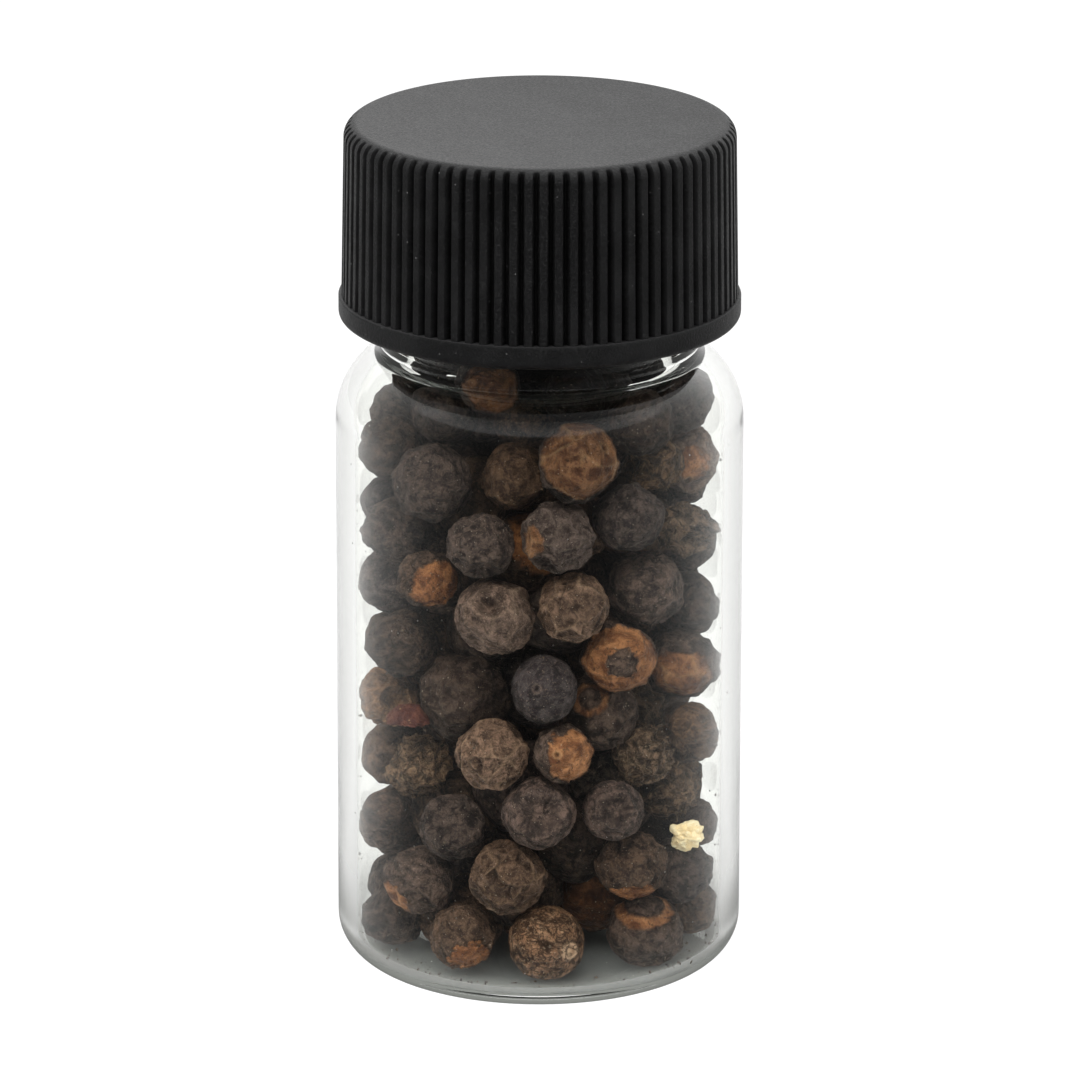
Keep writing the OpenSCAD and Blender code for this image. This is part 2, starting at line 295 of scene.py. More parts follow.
class Outline:
    """Half section of a turned piece, drawn point by point as (radius, height)."""

    def __init__(self) -> None:
        """Starts an outline with no points."""
        self.rows: list[Point] = []

    def to(self, r: float, z: float, guard: float = 0.0) -> Outline:
        """Draws a straight side to a point.

        Args:
            r: Radius of the new point.
            z: Height of the new point.
            guard: Distance from both ends at which an extra point holds the side straight.

        Returns:
            This outline, for the next move.
        """
        if guard and self.rows:
            r0, z0 = self.rows[-1]
            length = math.hypot(r - r0, z - z0)
            if length > 3 * guard:
                for share in (guard / length, 1 - guard / length):
                    self.rows.append((lerp(r0, r, share), lerp(z0, z, share)))
        self.rows.append((r, z))
        return self

    def arc(self, centre: Point, radius: float, start: float, end: float, steps: int) -> Outline:
        """Draws an arc, from one angle to another in degrees.

        Args:
            centre: Centre of the arc.
            radius: Radius of the arc.
            start: Angle of its first point, with 0 outwards and 90 upwards.
            end: Angle of its last point.
            steps: Number of straight sides that it is made of.

        Returns:
            This outline, for the next move.
        """
        for i in range(steps + 1):
            a = math.radians(lerp(start, end, i / steps))
            row = (centre[0] + radius * math.cos(a), centre[1] + radius * math.sin(a))
            if not self.rows or math.dist(self.rows[-1], row) > 1e-4:
                self.rows.append(row)
        return self

    def rungs(self, r: float, z_end: float, spacing: float) -> Outline:
        """Draws an upright side in even steps, to leave points for a screw thread.

        Args:
            r: Radius of the side.
            z_end: Height at which it ends.
            spacing: About how far apart its points are.

        Returns:
            This outline, for the next move.
        """
        z0 = self.rows[-1][1]
        count = max(1, round(abs(z_end - z0) / spacing))
        for i in range(1, count + 1):
            self.rows.append((r, lerp(z0, z_end, i / count)))
        return self


@dataclass(frozen=True)
class ScrewThread:
    """A right-handed ridge that winds down from its upper end."""

    top: float
    turns: float
    height: float
    pitch: float = 3.175
    root_width: float = 1.9
    crest_width: float = 0.8
    start: float = 60.0
    fade: float = 0.12

    def rise(self, angle: np.ndarray, z: np.ndarray) -> np.ndarray:
        """Height of the ridge over its wall.

        Args:
            angle: Angles round the axis, in radians.
            z: Heights of the same points.

        Returns:
            How far each point stands out from the wall.
        """
        first = np.mod(math.radians(self.start) - angle, FULL_TURN) / FULL_TURN
        rise = np.zeros_like(z)
        for lap in range(math.ceil(self.turns)):
            t = first + lap
            off = np.abs(z - (self.top - self.pitch * t))
            flank = (self.root_width - self.crest_width) / 2
            side = soft_step(0, 1, (self.root_width / 2 - off) / flank)
            ends = np.clip(np.minimum(t, self.turns - t) / self.fade, 0, 1)
            rise = np.maximum(rise, side * ends * self.height)
        return rise


class Nodes:
    """A short hand for laying out shader nodes in a material, a group or the world."""

    def __init__(self, tree: bpy.types.NodeTree) -> None:
        """Takes the tree that the nodes are laid out in."""
        self.tree = tree

    def add(self, kind: str, inputs: dict | None = None, **options: object) -> bpy.types.Node:
        """Adds a node.

        Args:
            kind: Name of the node's type, without its ShaderNode prefix.
            inputs: Values or output sockets for its inputs, by name or place.
            **options: Properties of the node itself.

        Returns:
            The new node.
        """
        node = self.tree.nodes.new(kind if kind.startswith("NodeGroup") else "ShaderNode" + kind)
        for key, value in options.items():
            setattr(node, key, value)
        for key, value in (inputs or {}).items():
            self.put(node.inputs[key], value)
        return node

    def put(self, socket: bpy.types.NodeSocket, value: object) -> None:
        """Links an output to a socket, or sets the socket to a plain value.

        Args:
            socket: The input socket.
            value: An output socket, a number, a vector or a colour.
        """
        if isinstance(value, bpy.types.NodeSocket):
            self.tree.links.new(value, socket)
        elif isinstance(value, tuple) and len(value) == 3 and socket.type == "RGBA":
            socket.default_value = (*value, 1.0)
        else:
            socket.default_value = value

    def math(self, operation: str, a: object, b: object = 0.0,
             clamp: bool = False) -> bpy.types.NodeSocket:
        """One step of arithmetic on two values."""
        return self.add("Math", {0: a, 1: b}, operation=operation, use_clamp=clamp).outputs[0]

    def times(self, a: object, b: object) -> bpy.types.NodeSocket:
        """One value times another."""
        return self.math("MULTIPLY", a, b)

    def sum(self, *terms: tuple[object, float]) -> bpy.types.NodeSocket:
        """Adds up values, each times its own share.

        Args:
            *terms: Pairs of a value and its share.

        Returns:
            The sum.
        """
        total: object = 0.0
        for value, share in terms:
            node = self.add("Math", {0: value, 1: share, 2: total}, operation="MULTIPLY_ADD")
            total = node.outputs[0]
        return total

    def span(self, value: object, low: float, high: float, start: float = 0.0,
             end: float = 1.0) -> bpy.types.NodeSocket:
        """Maps values between two limits smoothly to values between two others.

        Args:
            value: The value.
            low: Limit at which the result is start.
            high: Limit at which the result is end.
            start: Result at and beyond low.
            end: Result at and beyond high.

        Returns:
            The mapped value.
        """
        node = self.add("MapRange", {"Value": value, "From Min": low, "From Max": high,
                                     "To Min": start, "To Max": end},
                        interpolation_type="SMOOTHSTEP")
        return node.outputs["Result"]

    def blend(self, share: object, a: object, b: object, mode: str = "MIX") -> bpy.types.NodeSocket:
        """Mixes two colours.

        Args:
            share: Share of the second colour, from 0 to 1.
            a: First colour.
            b: Second colour.
            mode: How the second colour goes over the first.

        Returns:
            The mixed colour.
        """
        node = self.add("Mix", data_type="RGBA", blend_type=mode)
        # The colour sockets of this node share their names with its other kinds of sockets
        for place, value in ((0, share), (6, a), (7, b)):
            self.put(node.inputs[place], value)
        return node.outputs[2]

    def attribute(self, name: str, output: str = "Fac") -> bpy.types.NodeSocket:
        """Reads a named attribute of the mesh."""
        return self.add("Attribute", attribute_name=name).outputs[output]

    def millimetres(self) -> bpy.types.NodeSocket:
        """Place on the object, in millimetres."""
        place = self.add("TexCoord").outputs["Object"]
        return self.add("Mapping", {"Vector": place, "Scale": (1 / MM,) * 3}).outputs[0]

    def noise(self, place: object, scale: float, detail: float, roughness: float = 0.5,
              distortion: float = 0.0) -> bpy.types.NodeSocket:
        """Random values of about 0.3 to 0.7 that change smoothly from place to place.

        Args:
            place: Where the values are read.
            scale: How many changes there are in one unit of place.
            detail: Number of finer layers that are added.
            roughness: Strength of each finer layer against the one before.
            distortion: How strongly the places are stirred.

        Returns:
            The value.
        """
        return self.add("TexNoise", {
            "Vector": place, "Scale": scale, "Detail": detail, "Roughness": roughness,
            "Distortion": distortion}).outputs["Fac"]

    def bump(self, height: object, depth: float) -> bpy.types.NodeSocket:
        """Normal of a surface whose relief has the given depth, in millimetres."""
        node = self.add("Bump", {"Strength": 1.0, "Distance": depth * MM, "Height": height})
        return node.outputs["Normal"]

    def group(self, tree: bpy.types.NodeTree, inputs: dict) -> bpy.types.Node:
        """Places a node group and sets its inputs."""
        return self.add("Group", inputs, node_tree=tree)


def new_material(name: str) -> tuple[bpy.types.Material, Nodes, bpy.types.Node]:
    """Starts a material.

    Args:
        name: Name of the material.

    Returns:
        The empty material, its nodes and its output node.
    """
    material = bpy.data.materials.new(name)
    material.use_nodes = True
    material.node_tree.nodes.clear()
    nodes = Nodes(material.node_tree)
    return material, nodes, nodes.add("OutputMaterial")


def new_group(name: str, inputs: Iterable[tuple[str, str, object]],
              outputs: Iterable[tuple[str, str]]) -> tuple[Nodes, bpy.types.Node, bpy.types.Node]:
    """Starts a shader node group.

    Args:
        name: Name of the group.
        inputs: Name, socket type and default of each input.
        outputs: Name and socket type of each output.

    Returns:
        The group's nodes, its input node and its output node.
    """
    tree = bpy.data.node_groups.new(name, "ShaderNodeTree")
    for label, kind, default in inputs:
        socket = tree.interface.new_socket(name=label, in_out="INPUT", socket_type="NodeSocket" + kind)
        socket.default_value = default
    for label, kind in outputs:
        tree.interface.new_socket(name=label, in_out="OUTPUT", socket_type="NodeSocket" + kind)
    nodes = Nodes(tree)
    return nodes, nodes.add("NodeGroupInput"), nodes.add("NodeGroupOutput")


class Effects:
    """Node groups that more than one material uses."""

    def __init__(self) -> None:
        """Makes the groups."""
        self.wrinkles = self._wrinkles()
        self.specks = self._specks()

    @staticmethod
    def _wrinkles() -> bpy.types.NodeTree:
        """Makes the fine creases, the mottling and the grit of a dried fruit's skin.

        Returns:
            The node group.
        """
        nodes, start, end = new_group(
            "dried_skin_wrinkles",
            [("Place", "Vector", (0, 0, 0)), ("Cell", "Float", 1.0), ("Creases", "Float", 0.5)],
            [("Crease", "Float"), ("Mottle", "Float"), ("Grit", "Float"), ("Height", "Float")],
        )
        place = start.outputs["Place"]
        warp = nodes.add("TexNoise", {"Vector": place, "Scale": 1.1, "Detail": 3.0})
        bent = warp.outputs["Color"]
        for operation, other in (("SUBTRACT", (0.5, 0.5, 0.5)), ("MULTIPLY", (1.3, 1.3, 1.3)), ("ADD", place)):
            bent = nodes.add("VectorMath", {0: bent, 1: other}, operation=operation).outputs[0]
        scale = nodes.math("DIVIDE", 1.0, start.outputs["Cell"])
        net = nodes.add("TexVoronoi", {"Vector": bent, "Scale": scale}, feature="DISTANCE_TO_EDGE")
        crease = nodes.span(net.outputs["Distance"], 0.0, 0.14, 1.0, 0.0)
        crease = nodes.times(crease, start.outputs["Creases"])
        mottle = nodes.noise(bent, 1.5, 6.0, 0.66)
        grit = nodes.noise(place, 6.0, 4.0, 0.7)
        height = nodes.sum((crease, -0.35), (mottle, 1.6), (grit, 0.5))
        for label, socket in (("Crease", crease), ("Mottle", mottle), ("Grit", grit), ("Height", height)):
            nodes.put(end.inputs[label], socket)
        return nodes.tree

    @staticmethod
    def _specks() -> bpy.types.NodeTree:
        """Makes sparse fine specks of dust.

        Returns:
            The node group.
        """
        nodes, start, end = new_group(
            "dust_specks",
            [("Place", "Vector", (0, 0, 0)), ("Spacing", "Float", 0.4), ("Size", "Float", 0.1),
             ("Share", "Float", 0.3)],
            [("Mask", "Float")],
        )
        scale = nodes.math("DIVIDE", 1.0, start.outputs["Spacing"])
        dots = nodes.add("TexVoronoi", {"Vector": start.outputs["Place"], "Scale": scale, "Randomness": 1.0})
        near = nodes.math("LESS_THAN", dots.outputs["Distance"], start.outputs["Size"])
        cell = nodes.add("SeparateColor", {"Color": dots.outputs["Color"]})
        chosen = nodes.math("LESS_THAN", cell.outputs["Red"], start.outputs["Share"])
        nodes.put(end.inputs["Mask"], nodes.times(near, chosen))
        return nodes.tree


@dataclass(frozen=True)
class GlassFinish:
    """Clear pressed glass, a little green in the thick, with fine dust and a painted glow in its thick base.
    """

    tint: Colour = (0.965, 0.972, 0.95)
    ior: float = 1.5
    # Painted glow: the even grey-green that light trapped in the thick base is shown as
    trapped_glow: Colour = (0.3, 0.31, 0.29)

    def make(self, effects: Effects) -> bpy.types.Material:
        """Builds the glass material.

        Args:
            effects: The shared node groups.

        Returns:
            The material.
        """
        material, nodes, out = new_material("clear_vial_glass")
        place = nodes.millimetres()
        waves = nodes.noise(place, 0.16, 1.0)
        specks = nodes.group(effects.specks, {"Place": place, "Spacing": 0.9, "Size": 0.07, "Share": 0.12})
        colour = nodes.blend(specks.outputs["Mask"], self.tint, (0.55, 0.52, 0.48))
        rough = nodes.times(specks.outputs["Mask"], 0.5)
        glass = nodes.add("BsdfPrincipled", {
            "Base Color": colour, "Roughness": rough, "IOR": self.ior,
            "Transmission Weight": 1.0, "Normal": nodes.bump(waves, 0.01)})
        clear = nodes.add("BsdfTransparent", {"Color": (0.96, 0.97, 0.965)})
        path = nodes.add("LightPath")
        passing = nodes.math("MAXIMUM", path.outputs["Is Shadow Ray"], path.outputs["Is Diffuse Ray"])
        mix = nodes.add("MixShader", {0: passing, 1: glass.outputs[0], 2: clear.outputs[0]})
        # Painted glow: a ray still caught in the glass after three mirrorings ends in a grey-green emission,
        # strongest low in the base
        trapped = nodes.math("GREATER_THAN", path.outputs["Glossy Depth"], 2.5)
        height = nodes.add("SeparateXYZ", {"Vector": place}).outputs["Z"]
        trapped_glow = nodes.add("Emission", {"Color": self.trapped_glow, "Strength": nodes.span(height, 2.0, 6.0, 1.0, 0.1)})
        mix = nodes.add("MixShader", {0: trapped, 1: mix.outputs[0], 2: trapped_glow.outputs[0]})
        nodes.put(out.inputs["Surface"], mix.outputs[0])
        return material


@dataclass(frozen=True)
class CapFinish:
    """Black moulded plastic with a fine spark-eroded grain, a little dust, a painted sheen on its top and
    painted shade in its grooves.
    """

    colour: Colour = (0.0028, 0.0028, 0.003)
    worn: Colour = (0.0055, 0.0055, 0.0058)
    # Colour of the painted sheen on the top, with a film of dust in it
    film_and_sheen: Colour = (0.038, 0.038, 0.038)
    grit: Colour = (0.02, 0.02, 0.02)

    def make(self, effects: Effects) -> bpy.types.Material:
        """Builds the cap's material.

        Args:
            effects: The shared node groups.

        Returns:
            The material.
        """
        material, nodes, out = new_material("black_moulded_plastic")
        place = nodes.millimetres()
        grain = nodes.noise(place, 6.5, 3.0, 0.6)
        cloud = nodes.noise(place, 0.35, 3.0)
        specks = nodes.group(effects.specks, {"Place": place, "Spacing": 0.55, "Size": 0.1, "Share": 0.22})
        shade = nodes.blend(nodes.span(cloud, 0.35, 0.7), self.colour, self.worn)
        side = nodes.add("SeparateXYZ", {"Vector": place})
        up = nodes.add("SeparateXYZ", {"Vector": nodes.add("NewGeometry").outputs["Normal"]}).outputs["Z"]
        # Painted sheen: upward faces are lightened, more towards the front and the left, in cloudy patches of
        # film
        film_and_sheen = nodes.sum((side.outputs["Y"], -0.015), (side.outputs["X"], -0.022), (cloud, 0.4))
        film_and_sheen = nodes.times(nodes.math("ADD", film_and_sheen, 0.15, clamp=True), nodes.span(up, 0.95, 1.0))
        shade = nodes.blend(film_and_sheen, shade, self.film_and_sheen)
        shade = nodes.blend(nodes.span(grain, 0.5, 0.75, 0.0, 0.5), shade, self.grit)
        shade = nodes.blend(specks.outputs["Mask"], shade, (0.07, 0.07, 0.07))
        plastic = nodes.add("BsdfPrincipled", {
            "Base Color": shade, "Roughness": nodes.span(grain, 0.3, 0.7, 0.44, 0.62), "IOR": 1.46,
            "Specular IOR Level": 1.0, "Normal": nodes.bump(grain, 0.07)})
        # Painted shade: deep in the grooves the plastic gives way to a near-black matte surface
        groove_shade = nodes.add("BsdfDiffuse", {"Color": (0.0006, 0.0006, 0.0006)})
        deep = nodes.times(nodes.attribute("groove"), 0.75)
        mix = nodes.add("MixShader", {0: deep, 1: plastic.outputs[0], 2: groove_shade.outputs[0]})
        nodes.put(out.inputs["Surface"], mix.outputs[0])
        return material


@dataclass(frozen=True)
class FoamFinish:
    """White closed-cell foam of the sealing liner."""

    colour: Colour = (0.82, 0.82, 0.79)

    def make(self) -> bpy.types.Material:
        """Builds the liner's material.

        Returns:
            The material.
        """
        material, nodes, out = new_material("liner_foam_white")
        place = nodes.millimetres()
        cells = nodes.add("TexVoronoi", {"Vector": place, "Scale": 3.2}).outputs["Distance"]
        shade = nodes.blend(nodes.noise(place, 0.5, 3.0), self.colour, (0.74, 0.74, 0.7))
        foam = nodes.add("BsdfPrincipled", {
            "Base Color": shade, "Roughness": 0.75, "Normal": nodes.bump(cells, 0.04)})
        nodes.put(out.inputs["Surface"], foam.outputs[0])
        return material


@dataclass(frozen=True)
class CornFinish:
    """Skin of one kind of peppercorn, with the bare seed under it, painted shade in its pits and creases, and
    a partly painted highlight on its ridges.
    """

    name: str
    dark: Colour = (0.019, 0.0145, 0.013)
    light: Colour = (0.12, 0.081, 0.063)
    # Colour along the ridges of the net, partly the husk's own and partly painted highlight
    ridge: Colour = (0.22, 0.15, 0.115)
    seed_dark: Colour = (0.1, 0.036, 0.015)
    seed_light: Colour = (0.36, 0.165, 0.07)
    cell: float = 0.5
    creases: float = 0.6
    squiggles: float = 0.0
    rough: float = 0.7

    def make(self, effects: Effects) -> bpy.types.Material:
        """Builds the skin.

        Args:
            effects: The shared node groups.

        Returns:
            The material.
        """
        material, nodes, out = new_material(self.name)
        place = nodes.attribute("skin", "Vector")
        ridge, pit, bare = (nodes.attribute(n) for n in ("ridge", "pit", "bare"))
        skin = nodes.group(effects.wrinkles, {"Place": place, "Cell": self.cell, "Creases": self.creases})
        mottle, grit = skin.outputs["Mottle"], skin.outputs["Grit"]
        husk = nodes.blend(nodes.span(mottle, 0.37, 0.65), self.dark, self.light)
        # Painted shade: the husk darkens in the creases. Along the ridges it turns lighter, partly its own
        # colour and partly painted highlight
        husk = nodes.blend(nodes.times(skin.outputs["Crease"], 0.55), husk, self.dark)
        husk = nodes.blend(nodes.times(ridge, 0.42), husk, self.ridge)
        husk = nodes.blend(nodes.span(grit, 0.54, 0.7, 0.0, 0.6), husk, self.ridge)
        husk = nodes.blend(nodes.span(grit, 0.46, 0.32, 0.0, 0.7), husk, self.dark)
        if self.squiggles:
            curls = nodes.noise(place, 1.25, 3.0, 0.6, 1.2)
            off = nodes.math("ABSOLUTE", nodes.math("SUBTRACT", curls, 0.5))
            lines = nodes.span(off, 0.015, 0.06, self.squiggles, 0.0)
            husk = nodes.blend(lines, husk, self.dark)
        blotch = nodes.noise(place, 1.1, 6.0, 0.68, 0.5)
        seed = nodes.blend(nodes.span(blotch, 0.36, 0.68), self.seed_dark, self.seed_light)
        flecks = nodes.noise(place, 4.5, 3.0, 0.7)
        seed = nodes.blend(nodes.span(flecks, 0.56, 0.68, 0.0, 0.75), seed, self.dark)
        # Partly painted highlight: the bare seed turns lighter along the ridges
        seed = nodes.blend(nodes.times(ridge, 0.4), seed, (0.5, 0.3, 0.14))
        colour = nodes.blend(bare, husk, seed)
        # Painted shade: folds, sunken fields and dent walls darken to near black, with the dark middle of the
        # stem scar and the torn edge of the husk
        colour = nodes.blend(nodes.times(pit, 0.85), colour, (0.006, 0.0045, 0.004))
        colour = nodes.blend(1.0, colour, nodes.attribute("tint", "Color"), "MULTIPLY")
        dust = nodes.group(effects.specks, {"Place": place, "Spacing": 0.26, "Size": 0.14, "Share": 0.3})
        dust = nodes.times(dust.outputs["Mask"], 0.6)
        colour = nodes.blend(dust, colour, (0.36, 0.3, 0.23))
        rough = nodes.span(mottle, 0.3, 0.7, self.rough + 0.1, self.rough - 0.1)
        surface = nodes.add("BsdfPrincipled", {
            "Base Color": colour, "Roughness": nodes.sum((rough, 1.0), (bare, -0.22)), "IOR": 1.45,
            "Specular IOR Level": 0.35, "Normal": nodes.bump(skin.outputs["Height"], 0.26)})
        nodes.put(out.inputs["Surface"], surface.outputs[0])
        return material


@dataclass(frozen=True)
class CrumbFinish:
    """Dry crumbs: one tone broken up by a second one in patches and flecks."""

    name: str
    main: Colour
    patches: Colour
    flecks: Colour
    rough: float = 0.75

    def make(self, effects: Effects) -> bpy.types.Material:
        """Builds the crumb's material.

        Args:
            effects: The shared node groups.

        Returns:
            The material.
        """
        material, nodes, out = new_material(self.name)
        place = nodes.millimetres()
        skin = nodes.group(effects.wrinkles, {"Place": place, "Cell": 0.35, "Creases": 0.5})
        colour = nodes.blend(nodes.span(skin.outputs["Mottle"], 0.42, 0.62), self.main, self.patches)
        specks = nodes.group(effects.specks, {"Place": place, "Spacing": 0.3, "Size": 0.22, "Share": 0.3})
        colour = nodes.blend(nodes.times(specks.outputs["Mask"], 0.7), colour, self.flecks)
        surface = nodes.add("BsdfPrincipled", {
            "Base Color": colour, "Roughness": self.rough, "IOR": 1.45,
            "Normal": nodes.bump(skin.outputs["Height"], 0.1)})
        nodes.put(out.inputs["Surface"], surface.outputs[0])
        return material


@dataclass
class GlassVial:
    """The glass: body with heel and shoulder, screw neck and fire-polished rim."""

    body_r: float = 13.75
    wall: float = 1.3
    base: float = 1.3
    heel: float = 2.8
    floor_corner: float = 1.2
    straight: float = 38.0
    shoulder: float = 5.5
    kick_r: float = 9.0
    kick_h: float = 0.4
    neck_r: float = 10.75
    bore_r: float = 8.9
    blend: float = 1.2
    rim_z: float = 55.8
    rim: float = 0.45
    columns: int = 240
    thread: ScrewThread = ScrewThread(top=53.5, turns=1.25, height=1.05)

    def _shoulder(self, body: float, shoulder: float, neck: float) -> tuple[Point, Point, float]:
        """Works out how the shoulder runs into the neck.

        Args:
            body: Radius of the wall under the shoulder.
            shoulder: Radius of the shoulder's arc.
            neck: Radius of the neck.

        Returns:
            Centres of the shoulder's and the blend's arcs, and the angle at which they meet.
        """
        hub = (body - shoulder, self.straight)
        reach = shoulder + self.blend
        across = neck + self.blend - hub[0]
        up = math.sqrt(reach * reach - across * across)
        return hub, (neck + self.blend, self.straight + up), math.degrees(math.atan2(up, across))

    def outline(self) -> list[Point]:
        """Draws the half section of the glass.

        Returns:
            Its points, from the middle of the push-up round to the middle of the floor.
        """
        line = Outline()
        ball = (self.kick_r ** 2 + self.kick_h ** 2) / (2 * self.kick_h)
        edge = math.degrees(math.asin(self.kick_r / ball))
        line.arc((0.0, self.kick_h - ball), ball, 90, 90 - edge, 14)
        line.to(self.body_r - self.heel, 0, 0.3)
        line.arc((self.body_r - self.heel, self.heel), self.heel, -90, 0, 16)
        line.to(self.body_r, self.straight, 0.3)
        hub, bend, meet = self._shoulder(self.body_r, self.shoulder, self.neck_r)
        line.arc(hub, self.shoulder, 0, meet, 22)
        line.arc(bend, self.blend, 180 + meet, 180, 12)
        low = self.thread.top - self.thread.pitch * self.thread.turns - self.thread.root_width / 2
        line.to(self.neck_r, low, 0.3)
        line.rungs(self.neck_r, self.thread.top + self.thread.root_width / 2, 0.12)
        line.to(self.neck_r, self.rim_z - self.rim, 0.2)
        line.arc((self.neck_r - self.rim, self.rim_z - self.rim), self.rim, 0, 90, 6)
        line.to(self.bore_r + self.rim, self.rim_z)
        line.arc((self.bore_r + self.rim, self.rim_z - self.rim), self.rim, 90, 180, 6)
        inner = self.body_r - self.wall
        hub, bend, meet = self._shoulder(inner, self.shoulder - self.wall, self.bore_r)
        line.to(self.bore_r, bend[1], 0.3)
        line.arc(bend, self.blend, 180, 180 + meet, 12)
        line.arc(hub, self.shoulder - self.wall, meet, 0, 20)
        corner = self.floor_corner
        line.to(inner, self.base + corner, 0.3)
        line.arc((inner - corner, self.base + corner), corner, 0, -90, 12)
        line.to(0, self.base, 0.3)
        return line.rows

    def build(self, material: bpy.types.Material) -> bpy.types.Object:
        """Spins the glass and raises its thread.

        Args:
            material: The glass finish.

        Returns:
            The finished piece.
        """
        glass = Bench.spin("glass_vial", self.outline(), self.columns)
        p = Bench.points(glass)
        r = np.hypot(p[:, 0], p[:, 1])
        angle = np.arctan2(p[:, 1], p[:, 0])
        on_neck = np.abs(r - self.neck_r) < ON_WALL
        rise = np.where(on_neck, self.thread.rise(angle, p[:, 2]), 0)
        p[:, :2] *= (1 + rise / np.maximum(r, 1))[:, None]
        Bench.move(glass, p)
        Bench.smooth(glass, 50)
        Bench.dress(glass, material)
        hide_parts("vial")
        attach(glass, "vial")
        return glass


@dataclass
class ScrewCap:
    """The black cap: flat top, ribbed wall, plain band, and a thread and a seat inside."""

    top: float = 58.5
    foot: float = 45.1
    ceiling: float = 56.8
    band_top: float = 46.7
    rib_r: float = 13.3
    draft: float = 0.2
    edge: float = 1.0
    ribs: int = 83
    groove_depth: float = 0.5
    groove_share: float = 0.48
    floor_share: float = 0.3
    band_r: float = 13.5
    band_edge: float = 0.5
    bore_r: float = 12.1
    seat_r: float = 11.5
    seat_z: float = 54.9
    seat_step: float = 0.6
    lead_in: float = 0.4
    thread: ScrewThread = ScrewThread(top=52.187, turns=1.5, height=1.05)

    # Columns of one rib and groove, as shares of their spacing from the middle of the groove
    columns = (-0.38, -0.275, -0.24, -0.072, 0.072, 0.24, 0.275, 0.38)

    def outline(self) -> list[Point]:
        """Draws the half section over the ribs.

        Returns:
            Its points, from the middle of the top round to the middle of the ceiling.
        """
        line = Outline()
        side = self.rib_r - self.draft
        for r in (0.0, 4.0, 8.0, 11.0, 11.9):
            line.to(r, self.top)
        line.arc((side - self.edge, self.top - self.edge), self.edge, 90, 0, 16)
        for share in (0.04, 0.35, 0.65, 0.96):
            line.to(lerp(side, self.rib_r, share), lerp(self.top - self.edge, self.band_top, share))
        line.to(self.rib_r, self.band_top)
        line.to(self.band_r - 0.1, self.band_top)
        line.to(self.band_r - 0.03, self.band_top - 0.03)
        line.to(self.band_r, self.band_top - 0.1)
        line.to(self.band_r, self.foot + self.band_edge, 0.1)
        line.arc((self.band_r - self.band_edge, self.foot + self.band_edge), self.band_edge, 0, -90, 6)
        line.to(self.bore_r + self.lead_in, self.foot)
        line.to(self.bore_r, self.foot + self.lead_in)
        reach = self.thread.root_width / 2
        line.to(self.bore_r, self.thread.top - self.thread.pitch * self.thread.turns - reach)
        line.rungs(self.bore_r, self.thread.top + reach, 0.17)
        line.to(self.bore_r, self.seat_z - self.seat_step)
        line.to(self.seat_r, self.seat_z)
        line.to(self.seat_r, self.ceiling)
        line.to(0, self.ceiling)
        return line.rows

    def _groove(self, share: np.ndarray, z: np.ndarray) -> np.ndarray:
        """How far out the ribbed wall reaches.

        Args:
            share: Places across the ribs, as shares of their spacing from a groove's middle.
            z: Heights of the same points.

        Returns:
            The greatest radius of each point.
        """
        half = self.groove_share / 2
        floor = half * self.floor_share
        off = np.abs(share)
        depth = self.groove_depth * np.clip(1 - (off - floor) / (half - floor), 0, 1)
        rounding = 0.05 * (1 - soft_step(half - 0.01, half + 0.03, off))
        up = np.clip((z - self.band_top) / (self.top - self.band_top), 0, 1)
        wall = self.rib_r - self.draft * up
        return wall - np.where(off < half + 0.03, np.maximum(depth, rounding), -1.0)

    def build(self, material: bpy.types.Material) -> bpy.types.Object:
        """Spins the cap, cuts its grooves and raises its thread.

        Args:
            material: The cap's finish.

        Returns:
            The finished piece.
        """
        per_rib = len(self.columns)
        count = self.ribs * per_rib
        cap = Bench.spin("screw_cap", self.outline(), count)
        p = Bench.points(cap)
        r = np.hypot(p[:, 0], p[:, 1])
        column = np.rint(np.arctan2(p[:, 1], p[:, 0]) / FULL_TURN * count).astype(int)
        share = np.array(self.columns)[np.mod(column, per_rib)]
        angle = (np.floor_divide(column, per_rib) + share) / self.ribs * FULL_TURN
        above = p[:, 2] > self.band_top - 0.001
        ribbed = above & (r > self.rib_r - self.draft - self.edge - 0.2) & (r < self.band_r - 0.15)
        clear = np.maximum(r - self._groove(share, p[:, 2]), 0)
        r = np.where(ribbed, r - clear, r)
        in_bore = (np.abs(r - self.bore_r) < ON_WALL) & (~above | (p[:, 2] < self.seat_z))
        r = np.where(in_bore, r - self.thread.rise(angle, p[:, 2]), r)
        p[:, 0] = r * np.cos(angle)
        p[:, 1] = r * np.sin(angle)
        Bench.move(cap, p)
        # The groove depth is kept for the painted shade in the grooves
        Bench.store(cap, "groove", np.where(ribbed, np.clip(clear / self.groove_depth, 0, 1), 0.0))
        Bench.smooth(cap, 42)
        Bench.dress(cap, material)
        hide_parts("cap")
        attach(cap, "cap")
        return cap


